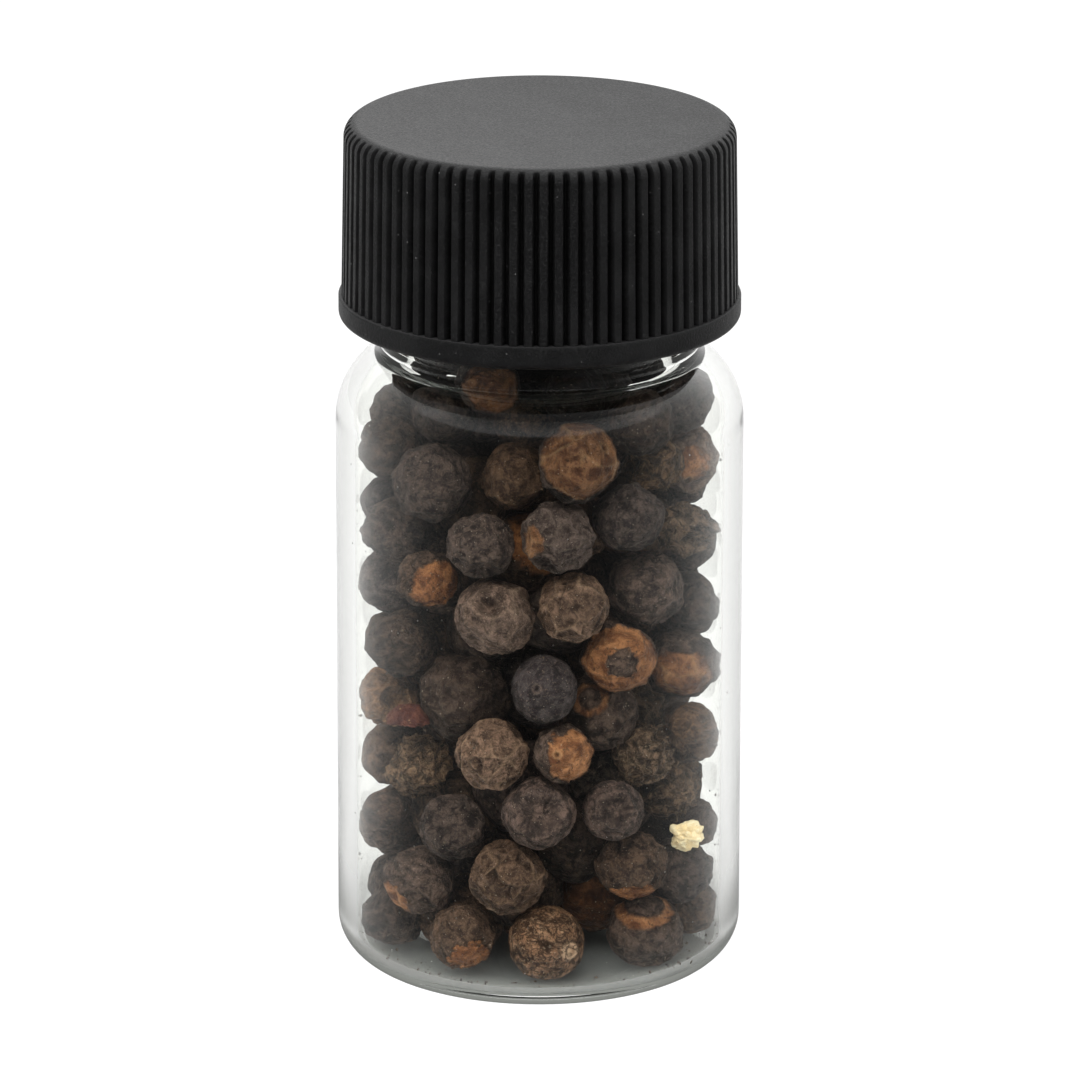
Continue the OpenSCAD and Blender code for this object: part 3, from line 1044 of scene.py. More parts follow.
@dataclass
class SealingLiner:
    """Foam disc in the cap's top, with the ring that the rim has pressed into it."""

    radius: float = 11.4
    bottom: float = 55.8
    thickness: float = 1.0
    rim_inner: float = 8.7
    rim_outer: float = 10.9
    dent: float = 0.06

    def build(self, material: bpy.types.Material) -> bpy.types.Object:
        """Spins the liner.

        Args:
            material: The foam finish.

        Returns:
            The finished piece.
        """
        line = Outline()
        line.to(0, self.bottom)
        line.to(self.rim_inner - 0.25, self.bottom)
        line.to(self.rim_inner, self.bottom + self.dent)
        line.to(self.rim_outer, self.bottom + self.dent)
        line.to(self.rim_outer + 0.15, self.bottom)
        line.arc((self.radius - 0.12, self.bottom + 0.12), 0.12, -90, 0, 4)
        line.arc((self.radius - 0.12, self.bottom + self.thickness - 0.12), 0.12, 0, 90, 4)
        line.to(0, self.bottom + self.thickness)
        liner = Bench.spin("foam_liner", line.rows, 128)
        Bench.smooth(liner, 35)
        Bench.dress(liner, material)
        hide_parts("liner")
        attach(liner, "liner")
        return liner


class Kind(Enum):
    """Kinds of peppercorn, each with the frame's node that holds its solids."""

    BLACK = "corns_black"
    BROWN = "corns_brown"
    HUSKED = "corns_husked"
    TAN = "corns_tan"
    DENTED = "corns_dented"
    ANGULAR = "corns_angular"
    OVAL = "corn_oval"
    MOTTLED = "corn_mottled"


@dataclass(frozen=True)
class Growth:
    """How one kind of peppercorn has dried. Depths are shares of its radius."""

    cells: int = 16
    net: float = 0.4
    bowl: float = 0.03
    steps: float = 0.035
    lumps: float = 0.06
    folds: float = 0.07
    cuts: int = 4
    grain: float = 0.13
    finest: int = 1
    fine: int = 12


GROWTHS = {
    Kind.BLACK: Growth(),
    Kind.BROWN: Growth(cells=20, net=0.9, bowl=0.05, steps=0.045, lumps=0.05, folds=0.05, cuts=3,
                       grain=0.1, finest=4, fine=10),
    Kind.HUSKED: Growth(cells=14, net=0.35, lumps=0.05, folds=0.05, cuts=2, grain=0.12, finest=5, fine=10),
    Kind.TAN: Growth(cells=24, net=0.6, lumps=0.08, folds=0.09, cuts=5, grain=0.2, finest=1, fine=3),
    Kind.DENTED: Growth(cells=12, net=0.2, bowl=0.015, steps=0.02, lumps=0.035, folds=0.03, cuts=1,
                        grain=0.08, finest=2, fine=3),
    Kind.ANGULAR: Growth(cells=13, net=0.4, lumps=0.13, folds=0.2, cuts=12, grain=0.3, finest=2, fine=6),
    Kind.OVAL: Growth(cells=9, net=0.12, bowl=0.012, steps=0.015, lumps=0.035, folds=0.025, cuts=0,
                      grain=0.06),
    Kind.MOTTLED: Growth(cells=26, net=0.3, bowl=0.015, steps=0.01, lumps=0.02, folds=0.02, cuts=0,
                         grain=0.08),
}


@dataclass(frozen=True)
class Look:
    """What one seen peppercorn shows, and where it is.

    Directions are (right, front, up) as seen in front of the vial.
    """

    kind: Kind
    angle: float
    height: float
    bare: Way | None = None
    bare_width: float = 55.0
    ring: float = 0.0
    dent: Way | None = None
    dent_depth: float = 0.25
    dent_width: float = 0.5
    net: float | None = None
    tone: float = 1.0
    warm: float = 0.0
    swell: float = 0.0


LOOKS = (
    Look(Kind.MOTTLED, 3, 4),
    Look(Kind.HUSKED, -30, 4, bare=(0.3, 0.8, -0.45), bare_width=40, warm=0.1),
    Look(Kind.HUSKED, 44, 4, bare=(0.0, 0.3, 0.95), bare_width=9, ring=40, tone=0.9, swell=0.1),
    Look(Kind.BLACK, -70, 3.5, tone=0.9),
    Look(Kind.BROWN, -12, 8, net=1.0, tone=0.9, warm=0.1),
    Look(Kind.HUSKED, -51, 7, bare=(-0.8, 0.5, -0.45), bare_width=33, net=0.6, tone=1.1, swell=0.08),
    Look(Kind.HUSKED, 37, 9, bare=(0.1, 0.35, -0.95), bare_width=48, tone=0.75, warm=0.1, swell=0.1),
    Look(Kind.HUSKED, 21, 7, bare=(0.3, 0.9, 0.1), bare_width=80, tone=0.42, warm=0.1),
    Look(Kind.DENTED, 0, 12, dent=(0.05, 0.95, 0.3), dent_depth=0.3, dent_width=0.62, net=0.1, tone=1.2),
    Look(Kind.DENTED, 28, 13, dent=(0.1, 0.9, 0.4), dent_depth=0.28, dent_width=0.5, net=0.2, tone=1.05),
    Look(Kind.BLACK, -34, 11.5, dent=(0.0, 0.8, 0.6), dent_depth=0.14, dent_width=0.8, tone=0.85),
    Look(Kind.ANGULAR, 56, 13, tone=1.1, warm=0.08),
    Look(Kind.HUSKED, 9, 16.5, bare=(0.5, 0.85, 0.15), bare_width=62, tone=1.1),
    Look(Kind.BROWN, -18, 16, net=1.0, tone=1.35, warm=0.08),
    Look(Kind.ANGULAR, 41, 16.5, warm=0.05),
    Look(Kind.ANGULAR, -51, 15, tone=1.35, warm=0.09),
    Look(Kind.BROWN, -29, 21, net=0.35, tone=0.75),
    Look(Kind.OVAL, 2, 22, tone=0.9),
    Look(Kind.BROWN, 22, 19.5, bare=(-0.2, 0.75, 0.6), bare_width=5, ring=22, net=0.2, tone=0.9),
    Look(Kind.TAN, -78, 19, dent=(0.2, 0.9, 0.1), dent_depth=0.3, dent_width=0.4, tone=1.1, warm=0.2),
    Look(Kind.HUSKED, 31, 24, bare=(0.15, 0.95, 0.1), bare_width=26, ring=52, tone=0.9, warm=0.03,
         swell=0.06),
    Look(Kind.HUSKED, 66, 22, bare=(-0.1, 0.8, -0.3), bare_width=55, net=0.8, tone=0.85, swell=0.12),
    Look(Kind.BROWN, -17, 27, dent=(-0.15, 0.8, 0.55), dent_depth=0.28, dent_width=0.3, net=0.8, tone=1.2),
    Look(Kind.BROWN, 13, 27.5, net=1.0, tone=1.15, warm=0.08),
    Look(Kind.BLACK, 45, 28, tone=1.1),
    Look(Kind.HUSKED, -45, 29, bare=(0.5, 0.85, 0.05), bare_width=58, tone=0.8, warm=0.08),
    Look(Kind.BROWN, 7, 32, bare=(-0.75, 0.6, 0.1), bare_width=26, dent=(-0.35, 0.6, -0.65),
         dent_depth=0.25, dent_width=0.35, net=0.5, tone=0.8, warm=-0.08),
    Look(Kind.BLACK, -22, 32, dent=(0.1, 0.7, -0.7), dent_depth=0.25, dent_width=0.45, tone=0.85),
    Look(Kind.HUSKED, 15, 37.5, bare=(0.2, 0.85, 0.45), bare_width=72, net=1.0, tone=0.5, warm=-0.02,
         swell=0.1),
    Look(Kind.BROWN, -9, 37, net=0.3, tone=0.6, warm=0.15),
    Look(Kind.BLACK, -45, 35.5, tone=0.75),
    Look(Kind.TAN, 90, 35, bare=(0.2, 0.9, 0.1), bare_width=30, tone=1.1),
    Look(Kind.HUSKED, -29, 42, bare=(0.1, 0.9, 0.1), bare_width=60, tone=4.6),
)


@dataclass
class Corn:
    """One peppercorn: where its solid is and how it looks."""

    centre: np.ndarray
    radius: float
    look: Look

    def depth(self, wall: float) -> float:
        """How far its surface lies behind the glass, whose inner radius is given."""
        return wall - float(np.hypot(self.centre[0], self.centre[1])) - self.radius


class Filling:
    """All peppercorns, grown on the frame's solids."""

    WALL = 12.45
    STRAIGHT = 38.0
    SHOULDER = 4.2
    BORE = 8.88
    FLOOR = 1.3
    SKIN = 0.02
    # Share of the fine grain that each pattern ball can carry
    GRAIN_KEPT = (1.0, 1.0, 0.5)
    # Depths behind the glass between which a corn goes out of sight, and how much it swells there. Out of
    # sight it is also darkened with painted shade
    DEEP = (0.7, 2.4)
    SWELL = 0.32
    # Heights between which the swelling ends, and between which the painted shade under the cap sets in
    SWELL_END = (33.0, 36.0)
    CAP_SHADE = (37.5, 41.5)

    def __init__(self, seed: int = 11) -> None:
        """Starts the random draws and makes the pattern balls, the finest one first."""
        self.dice = np.random.default_rng(seed)
        self.patterns = [Bench.ball(f"corn_pattern_{n}", n) for n in (6, 5, 4)]

    @staticmethod
    def solids(node: str) -> list[tuple[np.ndarray, float]]:
        """Centre and radius of each separate solid of a node, in millimetres.

        Args:
            node: Name of the frame's node.

        Returns:
            One pair for each solid.
        """
        mesh = bmesh.new()
        mesh.from_mesh(bpy.data.objects[node].data)
        bmesh.ops.remove_doubles(mesh, verts=mesh.verts, dist=1e-6)
        seen: set[int] = set()
        found = []
        mesh.verts.ensure_lookup_table()
        for first in mesh.verts:
            if first.index in seen:
                continue
            seen.add(first.index)
            todo, island = [first], []
            while todo:
                vert = todo.pop()
                island.append(tuple(vert.co))
                for link in vert.link_edges:
                    other = link.other_vert(vert)
                    if other.index not in seen:
                        seen.add(other.index)
                        todo.append(other)
            found.append(Filling._fit(np.array(island) / MM))
        mesh.free()
        return found

    @staticmethod
    def _fit(points: np.ndarray) -> tuple[np.ndarray, float]:
        """Finds the ball that a cut or dented solid was made from.

        Args:
            points: Points of the solid, one row each.

        Returns:
            The ball's centre and radius.
        """
        kept = points
        centre, radius = points.mean(0), 0.0
        for _ in range(6):
            a = np.hstack([2 * kept, np.ones((len(kept), 1))])
            answer = np.linalg.lstsq(a, (kept ** 2).sum(1), rcond=None)[0]
            centre = answer[:3]
            radius = math.sqrt(answer[3] + centre @ centre)
            off = np.linalg.norm(points - centre, axis=1) - radius
            kept = points[off > -0.02 * radius]
        return centre, radius

    def _room(self, z: np.ndarray) -> np.ndarray:
        """Inner radius of the glass at each height: wall, shoulder and neck."""
        rise = np.clip(z - self.STRAIGHT, 0, self.SHOULDER)
        return np.maximum(self.WALL - self.SHOULDER + np.sqrt(self.SHOULDER ** 2 - rise ** 2), self.BORE)

    def _random_way(self) -> np.ndarray:
        """A random direction."""
        way = self.dice.normal(size=3)
        return way / np.linalg.norm(way)

    def corns(self, kind: Kind) -> list[Corn]:
        """Every peppercorn of a kind, with the looks of the seen ones.

        Args:
            kind: The kind of peppercorn.

        Returns:
            The peppercorns, the ones nearest to the glass in front first.
        """
        corns = []
        for centre, radius in self.solids(kind.value):
            tone, warm = self.dice.uniform(0.65, 1.2), self.dice.normal(0.04, 0.07)
            corns.append(Corn(centre, radius, Look(kind, 0, 0, tone=float(tone), warm=float(warm))))
        free = set(range(len(corns)))
        for look in (k for k in LOOKS if k.kind is kind):
            x = math.sin(math.radians(look.angle)) * 10
            aim = np.array([x, look.height])
            best = min(free, key=lambda i: np.abs(corns[i].centre[[0, 2]] - aim).sum()
                       + max(0.0, corns[i].centre[1] + 3))
            free.remove(best)
            corns[best].look = look
        corns.sort(key=lambda c: 1.2 * float(c.centre[1]) - float(np.hypot(c.centre[0], c.centre[1])))
        return corns

    @staticmethod
    def _ways(view: Way) -> np.ndarray:
        """Turns a (right, front, up) direction into the frame's axes."""
        way = np.array([view[0], -view[1], view[2]])
        return way / np.linalg.norm(way)

    def _net(self, n: np.ndarray, cells: int) -> tuple[np.ndarray, np.ndarray, np.ndarray]:
        """Divides a ball's surface into fields, as a dried skin does.

        Args:
            n: Directions of the points.
            cells: Number of fields.

        Returns:
            How near each point is to a ridge between two fields, how far its field has sunk,
            and how far inside the field it lies, all from 0 to 1.
        """
        rank = np.arange(cells) + 0.5
        up = 1 - 2 * rank / cells
        turn = rank * math.pi * (1 + math.sqrt(5))
        side = np.sqrt(1 - up * up)
        middles = np.stack([side * np.cos(turn), side * np.sin(turn), up], axis=1)
        middles += self.dice.normal(0, 0.55 / math.sqrt(cells), middles.shape)
        middles /= np.linalg.norm(middles, axis=1)[:, None]
        middles = middles @ np.array(Euler(self.dice.uniform(0, FULL_TURN, 3)).to_matrix())
        away = np.arccos(np.clip(n @ middles.T, -1, 1))
        nearest = np.partition(away, 1, axis=1)
        gap = nearest[:, 1] - nearest[:, 0]
        sunk = self.dice.uniform(0, 1, cells)[np.argmin(away, axis=1)]
        return np.exp(-(gap / 0.075) ** 2), sunk, soft_step(0.0, 0.34, gap)

    def _bare(self, n: np.ndarray, look: Look, seed: int) -> tuple[np.ndarray, np.ndarray]:
        """Where the husk is gone, and the torn edge round it.

        Args:
            n: Directions of the points.
            look: What the peppercorn shows.
            seed: Which random fields to read.

        Returns:
            The bare share and the edge's share of each point.
        """
        way = self._ways(look.bare) if look.bare is not None else self._random_way()
        off = np.degrees(np.arccos(np.clip(n @ way, -1, 1)))
        torn = min(1.0, look.bare_width / 30)
        off += torn * (9 * Field.noise(n * 2.5, seed) + 6 * Field.noise(n * 7, seed + 1)
                       + 3 * Field.noise(n * 19, seed + 2))
        past = np.abs(off - look.ring) - look.bare_width
        return 1 - soft_step(-1.5, 1.5, past), np.exp(-((past - 2.5) / 3) ** 2)

    def _mark(self, n: np.ndarray, way: np.ndarray, width: float) -> tuple[np.ndarray, np.ndarray]:
        """Ring and middle of a stem scar of the given width."""
        near = np.arccos(np.clip(n @ way, -1, 1)) / width
        return np.exp(-((near - 1) / 0.35) ** 2), np.exp(-(near / 0.45) ** 2)

    def grow(self, corn: Corn, name: str, level: int) -> bpy.types.Object:
        """Shapes one peppercorn on a ball and stores what its skin reads.

        Args:
            corn: The peppercorn.
            name: Name for its object until it is joined.
            level: Which pattern ball to copy, with 0 the finest.

        Returns:
            The peppercorn as its own object.
        """
        obj = Bench.copy(self.patterns[level], name)
        n = Bench.points(obj)
        n /= np.linalg.norm(n, axis=1)[:, None]
        look, kind = corn.look, corn.look.kind
        growth = GROWTHS[kind]
        seed = int(self.dice.integers(1, 1 << 30))
        bent = n + 0.13 * np.stack([Field.noise(n * 2.1, seed + k) for k in range(3)], axis=1)
        bent /= np.linalg.norm(bent, axis=1)[:, None]
        ridge, sunk, inside = self._net(bent, growth.cells)
        net = look.net if look.net is not None else growth.net * float(self.dice.uniform(0.3, 1.2))
        ridge *= min(1.0, net) * soft_step(-0.45, 0.1, Field.noise(n * 2.3, seed + 5))
        size = 1 + growth.lumps * Field.fractal(n * 1.6, seed + 9)
        size -= inside * (growth.bowl + growth.steps * sunk)
        folds = Field.creases(bent * 1.8, seed + 13, 0.14)
        folds *= soft_step(-0.15, 0.35, Field.noise(n * 1.4, seed + 14))
        size -= growth.folds * folds
        # Painted shade for the skin: folds and sunken fields here, then dent walls, the torn edge and the stem
        # scar below
        pit = 0.75 * folds + 0.35 * inside * sunk * min(1.0, net)
        for _ in range(growth.cuts):
            flat = np.maximum(n @ self._random_way(), 0.2)
            size = np.minimum(size, self.dice.uniform(0.84, 0.96) / flat)
        if look.dent is not None or kind is Kind.DENTED:
            way = self._ways(look.dent) if look.dent is not None else self._random_way()
            near = np.arccos(np.clip(n @ way, -1, 1)) / look.dent_width
            near += 0.12 * Field.noise(n * 3, seed + 17)
            size -= look.dent_depth * (1 - soft_step(0.35, 1.15, near))
            size += 0.03 * np.exp(-((near - 1.25) / 0.22) ** 2)
            pit += 0.55 * np.exp(-((near - 0.75) / 0.22) ** 2) * min(1.0, 4 * look.dent_depth)
        if kind is Kind.OVAL:
            size *= 1 - 0.1 * (1 - n[:, 2] ** 2)
        bare = np.zeros(len(n))
        if kind is Kind.HUSKED or look.bare is not None:
            bare, edge = self._bare(n, look, seed + 21)
            size += 0.02 * edge - 0.05 * bare
            pit = pit * (1 - 0.6 * bare) + 0.35 * edge
        pale = kind is Kind.MOTTLED
        scar = self._ways((0.6, 0.78, 0.05)) if pale else self._random_way()
        ring, eye = self._mark(n, scar, 0.2 if pale else 0.13)
        size += 0.025 * ring - 0.06 * eye
        ridge = np.maximum(ridge, 1.8 * np.maximum(ring, eye) if pale else 0.9 * ring)
        pit = np.maximum(pit, 0.0 if pale else eye)
        deep = soft_step(*self.DEEP, np.array([corn.depth(self.WALL)]))[0]
        deep *= 1 - soft_step(*self.SWELL_END, corn.centre[2:])[0]
        shade = soft_step(*self.CAP_SHADE, corn.centre[2:])[0]
        p = corn.centre + n * (size * corn.radius * (1 + self.SWELL * deep + look.swell))[:, None]
        across = np.hypot(p[:, 0], p[:, 1])
        p[:, :2] *= np.minimum(1, (self._room(p[:, 2]) - self.SKIN) / np.maximum(across, 1))[:, None]
        p[:, 2] = np.maximum(p[:, 2], self.FLOOR + self.SKIN)
        Bench.move(obj, p)
        turn = np.array(Euler(self.dice.uniform(0, FULL_TURN, 3)).to_matrix())
        # Painted shade: corns deep behind the glass and corns under the cap get a darker tone, which the tint
        # attribute carries
        tone = look.tone * (1 - 0.35 * deep) * (1 - 0.9 * shade)
        tint = tone * np.array([1 + look.warm, 1.0, 1 - 1.4 * look.warm])
        Bench.store(obj, "skin", n @ turn * corn.radius + self.dice.uniform(-50, 50, 3))
        Bench.store(obj, "tint", np.tile(tint, (len(n), 1)))
        for label, values in (("ridge", ridge), ("pit", np.clip(pit, 0, 1)), ("bare", bare)):
            Bench.store(obj, label, values)
        husk = obj.vertex_groups.new(name="husk")
        for step in range(5):
            held = np.flatnonzero(np.rint(bare * 4) == step)
            if len(held):
                husk.add([int(i) for i in held], self.GRAIN_KEPT[level] * (1 - 0.18 * step), "REPLACE")
        return obj

    @staticmethod
    def _texture(name: str, spacing: float) -> bpy.types.Texture:
        """Finds or makes a texture for displacing.

        Args:
            name: Name of the texture.
            spacing: Distance between its features, in millimetres.

        Returns:
            The texture.
        """
        texture = bpy.data.textures.get(name)
        if texture is None:
            texture = bpy.data.textures.new(name, "CLOUDS")
            texture.noise_scale = spacing * MM
            texture.noise_depth = 3
            if name == "wrinkles":
                texture.noise_type = "HARD_NOISE"
        return texture

    def shrivel(self, obj: bpy.types.Object, grain: float) -> None:
        """Presses fine wrinkles into the husks and applies them.

        Args:
            obj: The joined peppercorns.
            grain: Depth of the finest wrinkles, in millimetres.
        """
        for name, spacing, depth in (("wrinkles", 1.1, 1.6 * grain), ("grain", 0.5, grain)):
            press = obj.modifiers.new(name, "DISPLACE")
            press.texture = self._texture(name, spacing)
            press.strength = depth * MM
            press.mid_level = 0.62
            press.vertex_group = "husk"
        Bench.apply(obj)
        Bench.take(obj)
        bpy.ops.object.shade_smooth()

    def build(self, kind: Kind, material: bpy.types.Material) -> bpy.types.Object:
        """Grows all peppercorns of a kind as one piece.

        Args:
            kind: The kind.
            material: Its skin.

        Returns:
            The finished piece.
        """
        name = "peppercorns_" + kind.name.lower()
        growth = GROWTHS[kind]
        grown = []
        for i, corn in enumerate(self.corns(kind)):
            level = 0 if i < growth.finest else 1 if i < growth.finest + growth.fine else 2
            grown.append(self.grow(corn, f"{name}_{i}", level))
        piece = Bench.join(name, grown)
        self.shrivel(piece, growth.grain)
        Bench.dress(piece, material)
        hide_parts(kind.value)
        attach(piece, "vial")
        return piece

    def clear_up(self) -> None:
        """Deletes the pattern balls."""
        for pattern in self.patterns:
            Bench.drop(pattern)


@dataclass
class Fragments:
    """Loose bits among the peppercorns: a crumb, a flake of husk, and dust on the glass."""

    wall: float = 12.43
    floor: float = 1.31
    flat_r: float = 11.25
    corner: float = 1.2
    grains: int = 340
    settled: float = 0.55
    flake_skin: float = 0.11

    def crumb(self, material: bpy.types.Material) -> bpy.types.Object:
        """Shapes the pale crumb on its own solid.

        Args:
            material: Its finish.

        Returns:
            The finished piece.
        """
        centre, radius = Filling.solids("crumb")[0]
        crumb = Bench.ball("pale_crumb", 5)
        n = Bench.points(crumb)
        size = 0.8 + 0.24 * Field.fractal(n * 1.7, 5, 4) - 0.12 * Field.creases(n * 2.2, 9, 0.25)
        size += 0.18 * np.exp(-((1 - n @ np.array([0.48, -0.5, 0.72])) / 0.12))
        Bench.move(crumb, centre + n * (np.minimum(size, 1.05) * radius)[:, None])
        Bench.smooth(crumb, 60)
        Bench.dress(crumb, material)
        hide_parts("crumb")
        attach(crumb, "vial")
        return crumb

    def flake(self, material: bpy.types.Material) -> bpy.types.Object:
        """Cuts the curled flake of husk out of a ball's skin.

        Args:
            material: Its finish.

        Returns:
            The finished piece.
        """
        centre, radius = Filling.solids("husk_flake")[0]
        flake = Bench.ball("husk_flake_curl", 6)
        n = Bench.points(flake)
        torn = 0.2 + 0.16 * Field.noise(n * 3, 31) + 0.07 * Field.noise(n * 9, 32)
        Bench.edit(flake)
        bpy.ops.mesh.select_all(action="DESELECT")
        bpy.ops.object.mode_set(mode="OBJECT")
        for vert, lost in zip(flake.data.vertices, n[:, 2] < torn):
            vert.select = bool(lost)
        bpy.ops.object.mode_set(mode="EDIT")
        bpy.ops.mesh.delete(type="VERT")
        bpy.ops.object.mode_set(mode="OBJECT")
        n = Bench.points(flake)
        size = 0.93 + 0.07 * Field.fractal(n * 2.2, 33, 4) - 0.05 * Field.creases(n * 2, 35, 0.2)
        Bench.move(flake, centre + n * (size * radius)[:, None])
        skin = flake.modifiers.new("skin", "SOLIDIFY")
        skin.thickness = self.flake_skin * MM
        skin.offset = -1
        Bench.apply(flake)
        Bench.smooth(flake, 50)
        Bench.dress(flake, material)
        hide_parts("husk_flake")
        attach(flake, "vial")
        return flake

    def _rise(self, out: float) -> float:
        """How far the glass has curved up from its floor at a distance from the axis."""
        past = max(0.0, out - self.flat_r)
        return self.corner - math.sqrt(max(0.0, self.corner ** 2 - past ** 2))

    def dust(self, material: bpy.types.Material) -> bpy.types.Object:
        """Scatters grains on the inner wall and round the edge of the vial's floor.

        Args:
            material: Their finish.

        Returns:
            The finished piece.
        """
        dice = np.random.default_rng(23)
        pattern = Bench.ball("grain_pattern", 1)
        shape = Bench.points(pattern)
        grains = []
        for i in range(self.grains):
            size = 0.035 + 0.11 * dice.uniform() ** 3
            turn = dice.uniform(0, FULL_TURN)
            low = dice.uniform() < self.settled
            out = self.wall - size - (dice.uniform() ** 2 * 2.2 if low else 0.0)
            if low:
                heaped = 0.3 * (self.wall - 0.9 < out) * dice.uniform()
                height = self.floor + size + max(heaped, self._rise(out))
            else:
                height = dice.uniform(2.0, 37.0)
            grain = Bench.copy(pattern, f"grain_{i}")
            spread = shape * dice.uniform(0.6, 1.2, shape.shape) * size
            Bench.move(grain, spread + np.array([out * math.cos(turn), out * math.sin(turn), height]))
            grains.append(grain)
        Bench.drop(pattern)
        dust = Bench.join("pepper_dust", grains)
        Bench.dress(dust, material)
        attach(dust, "vial")
        return dust


@dataclass
class Studio:
    """Pale floor, soft lamps, the room and the camera of the photograph."""

    distance: float = 522.94
    elevation: float = 17.797
    aim: float = 29.21
    lens: float = 257.5
    roll: float = 0.11
    frame_shift: float = 0.00059

    def camera(self) -> None:
        """Sets up the camera."""
        bpy.ops.object.camera_add()
        camera = bpy.context.object
        camera.name = "camera"
        up = math.radians(self.elevation)
        camera.location = (0, -self.distance * math.cos(up) * MM,
                           (self.aim + self.distance * math.sin(up)) * MM)
        look = Matrix.Rotation(math.radians(90 - self.elevation), 4, "X")
        camera.rotation_euler = (look @ Matrix.Rotation(math.radians(self.roll), 4, "Z")).to_euler()
        camera.data.lens = self.lens
        camera.data.sensor_width = 36
        camera.data.shift_x = self.frame_shift
        camera.data.clip_start = 0.01
        camera.data.clip_end = 20
        bpy.context.scene.camera = camera

    def lamp(self, name: str, place: Way, size: float, power: float) -> None:
        """Adds a square soft lamp that faces the vial and that only matte things show.

        Args:
            name: Name of the lamp.
            place: Where it hangs, in metres.
            size: Its width, in metres.
            power: Its power, in watts.
        """
        bpy.ops.object.light_add(type="AREA", location=place)
        lamp = bpy.context.object
        lamp.name = name
        lamp.data.size = size
        lamp.data.energy = power
        target = Vector((0, 0, self.aim * MM))
        lamp.rotation_euler = (target - Vector(place)).to_track_quat("-Z", "Y").to_euler()
        lamp.visible_glossy = False
        lamp.visible_camera = False
        lamp.visible_transmission = False

    @staticmethod
    def _facing(nodes: Nodes, toward_back: bpy.types.NodeSocket) -> bpy.types.NodeSocket:
        """Brightness that glass and gloss see: dark towards the front, white towards the back.

        Args:
            nodes: Where the nodes are laid out.
            toward_back: Y of the direction from the vial.

        Returns:
            The brightness, up to 1.
        """
        share = nodes.add("MapRange", {"Value": toward_back, "From Min": -1.0, "From Max": 0.6,
                                       "To Min": 0.14, "To Max": 1.02})
        return nodes.math("POWER", share.outputs["Result"], 1.8)

    @staticmethod
    def _paths(nodes: Nodes) -> tuple[bpy.types.NodeSocket, ...]:
        """Tells the kinds of rays apart.

        Args:
            nodes: Where the nodes are laid out.

        Returns:
            Marks of what the camera sees, of what shows through glass, and of what is mirrored.
        """
        path = nodes.add("LightPath")
        through = path.outputs["Is Transmission Ray"]
        # A ray through clear glass counts as glossy too
        mirrored = nodes.math("SUBTRACT", path.outputs["Is Glossy Ray"], through, clamp=True)
        return path.outputs["Is Camera Ray"], through, mirrored

    def floor(self) -> None:
        """Adds the floor that the vial stands on."""
        Bench.clear()
        bpy.ops.mesh.primitive_circle_add(vertices=96, radius=3.0, fill_type="NGON",
                                          location=(0, 0, -0.00001))
        floor = bpy.context.object
        floor.name = "floor"
        material, nodes, out = new_material("studio_floor")
        spot = nodes.add("TexCoord").outputs["Object"]
        away = nodes.add("VectorMath", {0: spot}, operation="LENGTH").outputs["Value"]
        across, back, _ = nodes.add("SeparateXYZ", {"Vector": spot}).outputs
        facing = self._facing(nodes, nodes.math("DIVIDE", back, away))
        clear = nodes.span(away, 0.0125, 0.026)
        camera, through, mirrored = self._paths(nodes)
        # Painted shadow: seen through the glass, the floor under the vial is darker
        under = nodes.times(through, nodes.math("SUBTRACT", 1.0, clear))
        shade = nodes.blend(under, (0.9, 0.9, 0.9), (0.24, 0.24, 0.235))
        matte = nodes.add("BsdfDiffuse", {"Color": shade})
        through = nodes.times(through, clear)
        beside = nodes.math("ABSOLUTE", nodes.math("DIVIDE", across, away))
        beside = nodes.span(beside, 0.3, 0.9, 1.0, 0.3)
        seen = nodes.sum((through, 1.18), (nodes.times(mirrored, beside), 1.0))
        bent = nodes.times(seen, facing)
        bright = nodes.sum((camera, 1.07), (bent, 1.0))
        glow = nodes.add("Emission", {"Color": (1, 1, 1), "Strength": bright})
        share = nodes.sum((camera, 0.8), (through, 1.0), (mirrored, 1.0))
        mix = nodes.add("MixShader", {0: share, 1: matte.outputs[0], 2: glow.outputs[0]})
        nodes.put(out.inputs["Surface"], mix.outputs[0])
        Bench.dress(floor, material)

    def room(self, strength: float) -> None:
        """Sets the white room.

        Args:
            strength: How bright the room is as a light.
        """
        world = bpy.data.worlds.new("white_room")
        bpy.context.scene.world = world
        world.use_nodes = True
        world.node_tree.nodes.clear()
        nodes = Nodes(world.node_tree)
        way = nodes.add("TexCoord").outputs["Generated"]
        across, back, up = nodes.add("SeparateXYZ", {"Vector": way}).outputs
        roof = nodes.span(nodes.sum((back, 1.0), (up, 0.35)), -0.1, 0.35, 0.0, 0.9)
        roof = nodes.times(roof, nodes.span(up, 0.35, 0.7))
        facing = nodes.math("MAXIMUM", self._facing(nodes, back), roof)
        light = nodes.add("MapRange", {"Value": up, "From Min": -0.2, "From Max": 0.9,
                                       "To Min": 0.35 * strength, "To Max": 1.5 * strength})
        camera, through, mirrored = self._paths(nodes)
        beside = nodes.math("ABSOLUTE", nodes.math("SUBTRACT", across, 0.12))
        beside = nodes.span(beside, 0.25, 0.9, 1.0, 0.2)
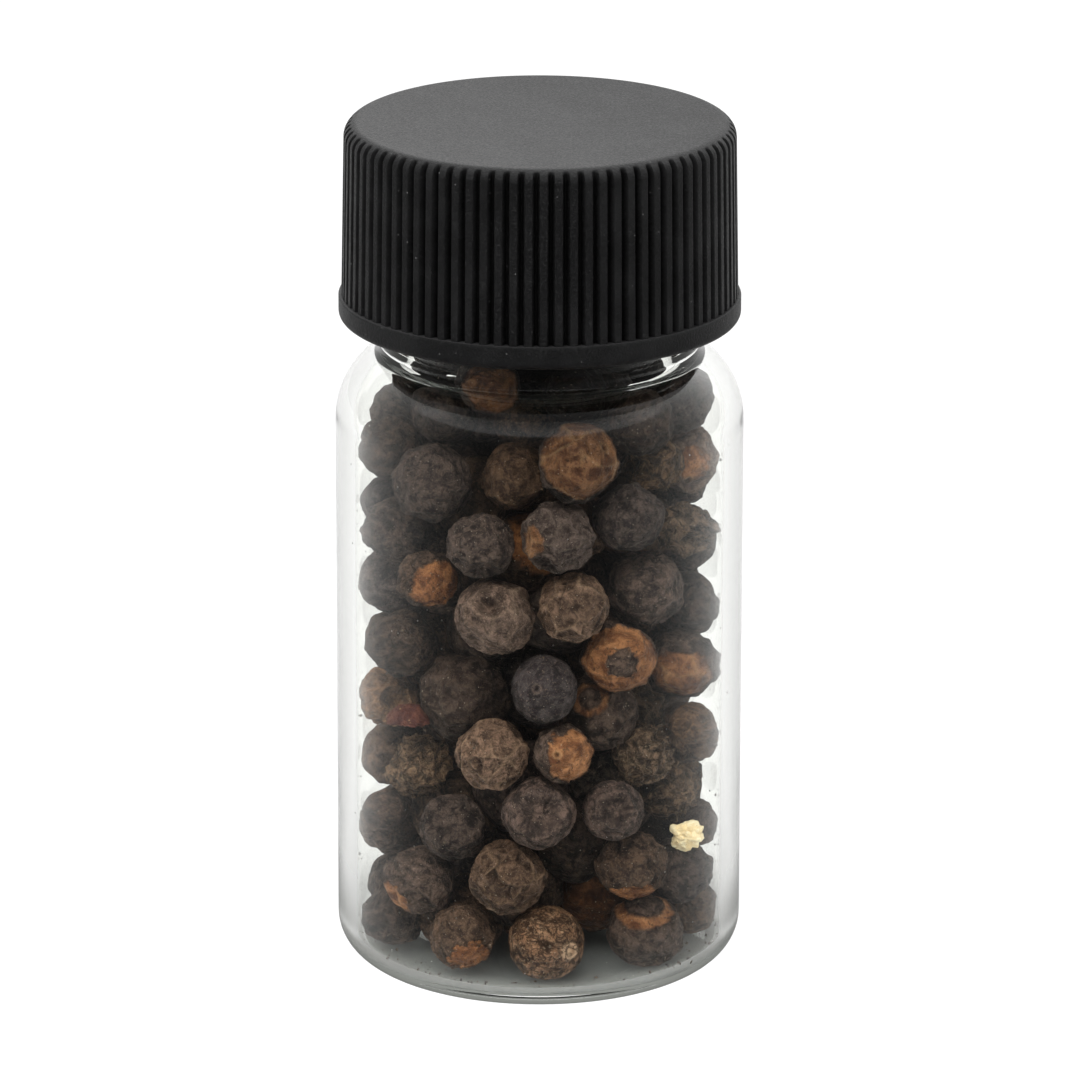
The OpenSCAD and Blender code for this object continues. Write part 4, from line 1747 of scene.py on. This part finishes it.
        # A row of soft lamps above the front, which only shows as a mirror image
        row = nodes.times(nodes.span(up, 0.58, 0.63, 0.0, 0.75), nodes.span(up, 0.64, 0.9, 1.0, 0.0))
        row = nodes.times(row, nodes.span(back, -0.1, 0.2, 1.0, 0.0))
        mirror = nodes.math("MAXIMUM", nodes.times(facing, beside), row)
        seen = nodes.sum((nodes.times(through, facing), 1.18), (nodes.times(mirrored, mirror), 1.0))
        lit = nodes.math("SUBTRACT", 1.0, nodes.sum((camera, 1.0), (through, 1.0), (mirrored, 1.0)))
        lit = nodes.times(lit, light.outputs["Result"])
        brightness = nodes.sum((camera, 1.0), (seen, 1.0), (lit, 1.0))
        walls = nodes.add("Background", {"Color": (1, 1, 1), "Strength": brightness})
        nodes.add("OutputWorld", {"Surface": walls.outputs[0]})

    def build(self) -> None:
        """Sets up the whole studio."""
        bpy.context.scene.view_settings.view_transform = "Standard"
        self.camera()
        self.floor()
        self.room(0.5)
        self.lamp("lamp_over", (-0.1, -0.34, 0.56), 0.45, 6.0)
        self.lamp("lamp_left", (-0.6, -0.1, 0.4), 0.4, 1.3)
        self.lamp("lamp_right", (0.6, -0.1, 0.4), 0.4, 1.3)


SKINS = {
    Kind.BLACK: CornFinish("husk_black"),
    Kind.BROWN: CornFinish("husk_brown", dark=(0.032, 0.02, 0.015), light=(0.15, 0.096, 0.07),
                           ridge=(0.24, 0.165, 0.115)),
    Kind.HUSKED: CornFinish("husk_and_seed", dark=(0.022, 0.015, 0.012), light=(0.12, 0.078, 0.058)),
    Kind.TAN: CornFinish("husk_tan", dark=(0.05, 0.031, 0.023), light=(0.21, 0.135, 0.095),
                         ridge=(0.3, 0.21, 0.15)),
    Kind.DENTED: CornFinish("husk_dented", dark=(0.022, 0.0165, 0.0145), light=(0.12, 0.077, 0.06)),
    Kind.ANGULAR: CornFinish("husk_angular", dark=(0.022, 0.015, 0.011), light=(0.18, 0.118, 0.078),
                             ridge=(0.24, 0.185, 0.12), creases=0.9),
    Kind.OVAL: CornFinish("husk_oval", dark=(0.019, 0.0155, 0.0155), light=(0.072, 0.056, 0.054),
                          creases=0.3),
    Kind.MOTTLED: CornFinish("husk_mottled", dark=(0.022, 0.011, 0.006), light=(0.25, 0.13, 0.068),
                             ridge=(0.56, 0.38, 0.24), squiggles=0.8, creases=0.2),
}
CRUMB = CrumbFinish("pale_crumb", (0.8, 0.62, 0.34), (0.92, 0.82, 0.56), (0.3, 0.18, 0.07))
FLAKE = CrumbFinish("red_husk", (0.05, 0.013, 0.01), (0.1, 0.034, 0.02), (0.35, 0.22, 0.1), rough=0.65)
DUST = CrumbFinish("pepper_grains", (0.04, 0.03, 0.024), (0.12, 0.085, 0.055), (0.25, 0.18, 0.1))


def main() -> None:
    """Builds every piece in order and reports it."""
    logging.basicConfig(level=logging.INFO, format="%(message)s")
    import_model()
    Studio().build()
    effects = Effects()
    pieces = [
        GlassVial().build(GlassFinish().make(effects)),
        ScrewCap().build(CapFinish().make(effects)),
        SealingLiner().build(FoamFinish().make()),
    ]
    filling = Filling()
    for kind in Kind:
        pieces.append(filling.build(kind, SKINS[kind].make(effects)))
    filling.clear_up()
    fragments = Fragments()
    pieces.append(fragments.crumb(CRUMB.make(effects)))
    pieces.append(fragments.flake(FLAKE.make(effects)))
    pieces.append(fragments.dust(DUST.make(effects)))
    for piece in pieces:
        count = sum(len(p.vertices) - 2 for p in piece.data.polygons)
        LOG.info("%s: %d triangles", piece.name, count)
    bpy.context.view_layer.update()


if __name__ == "__main__":
    main()
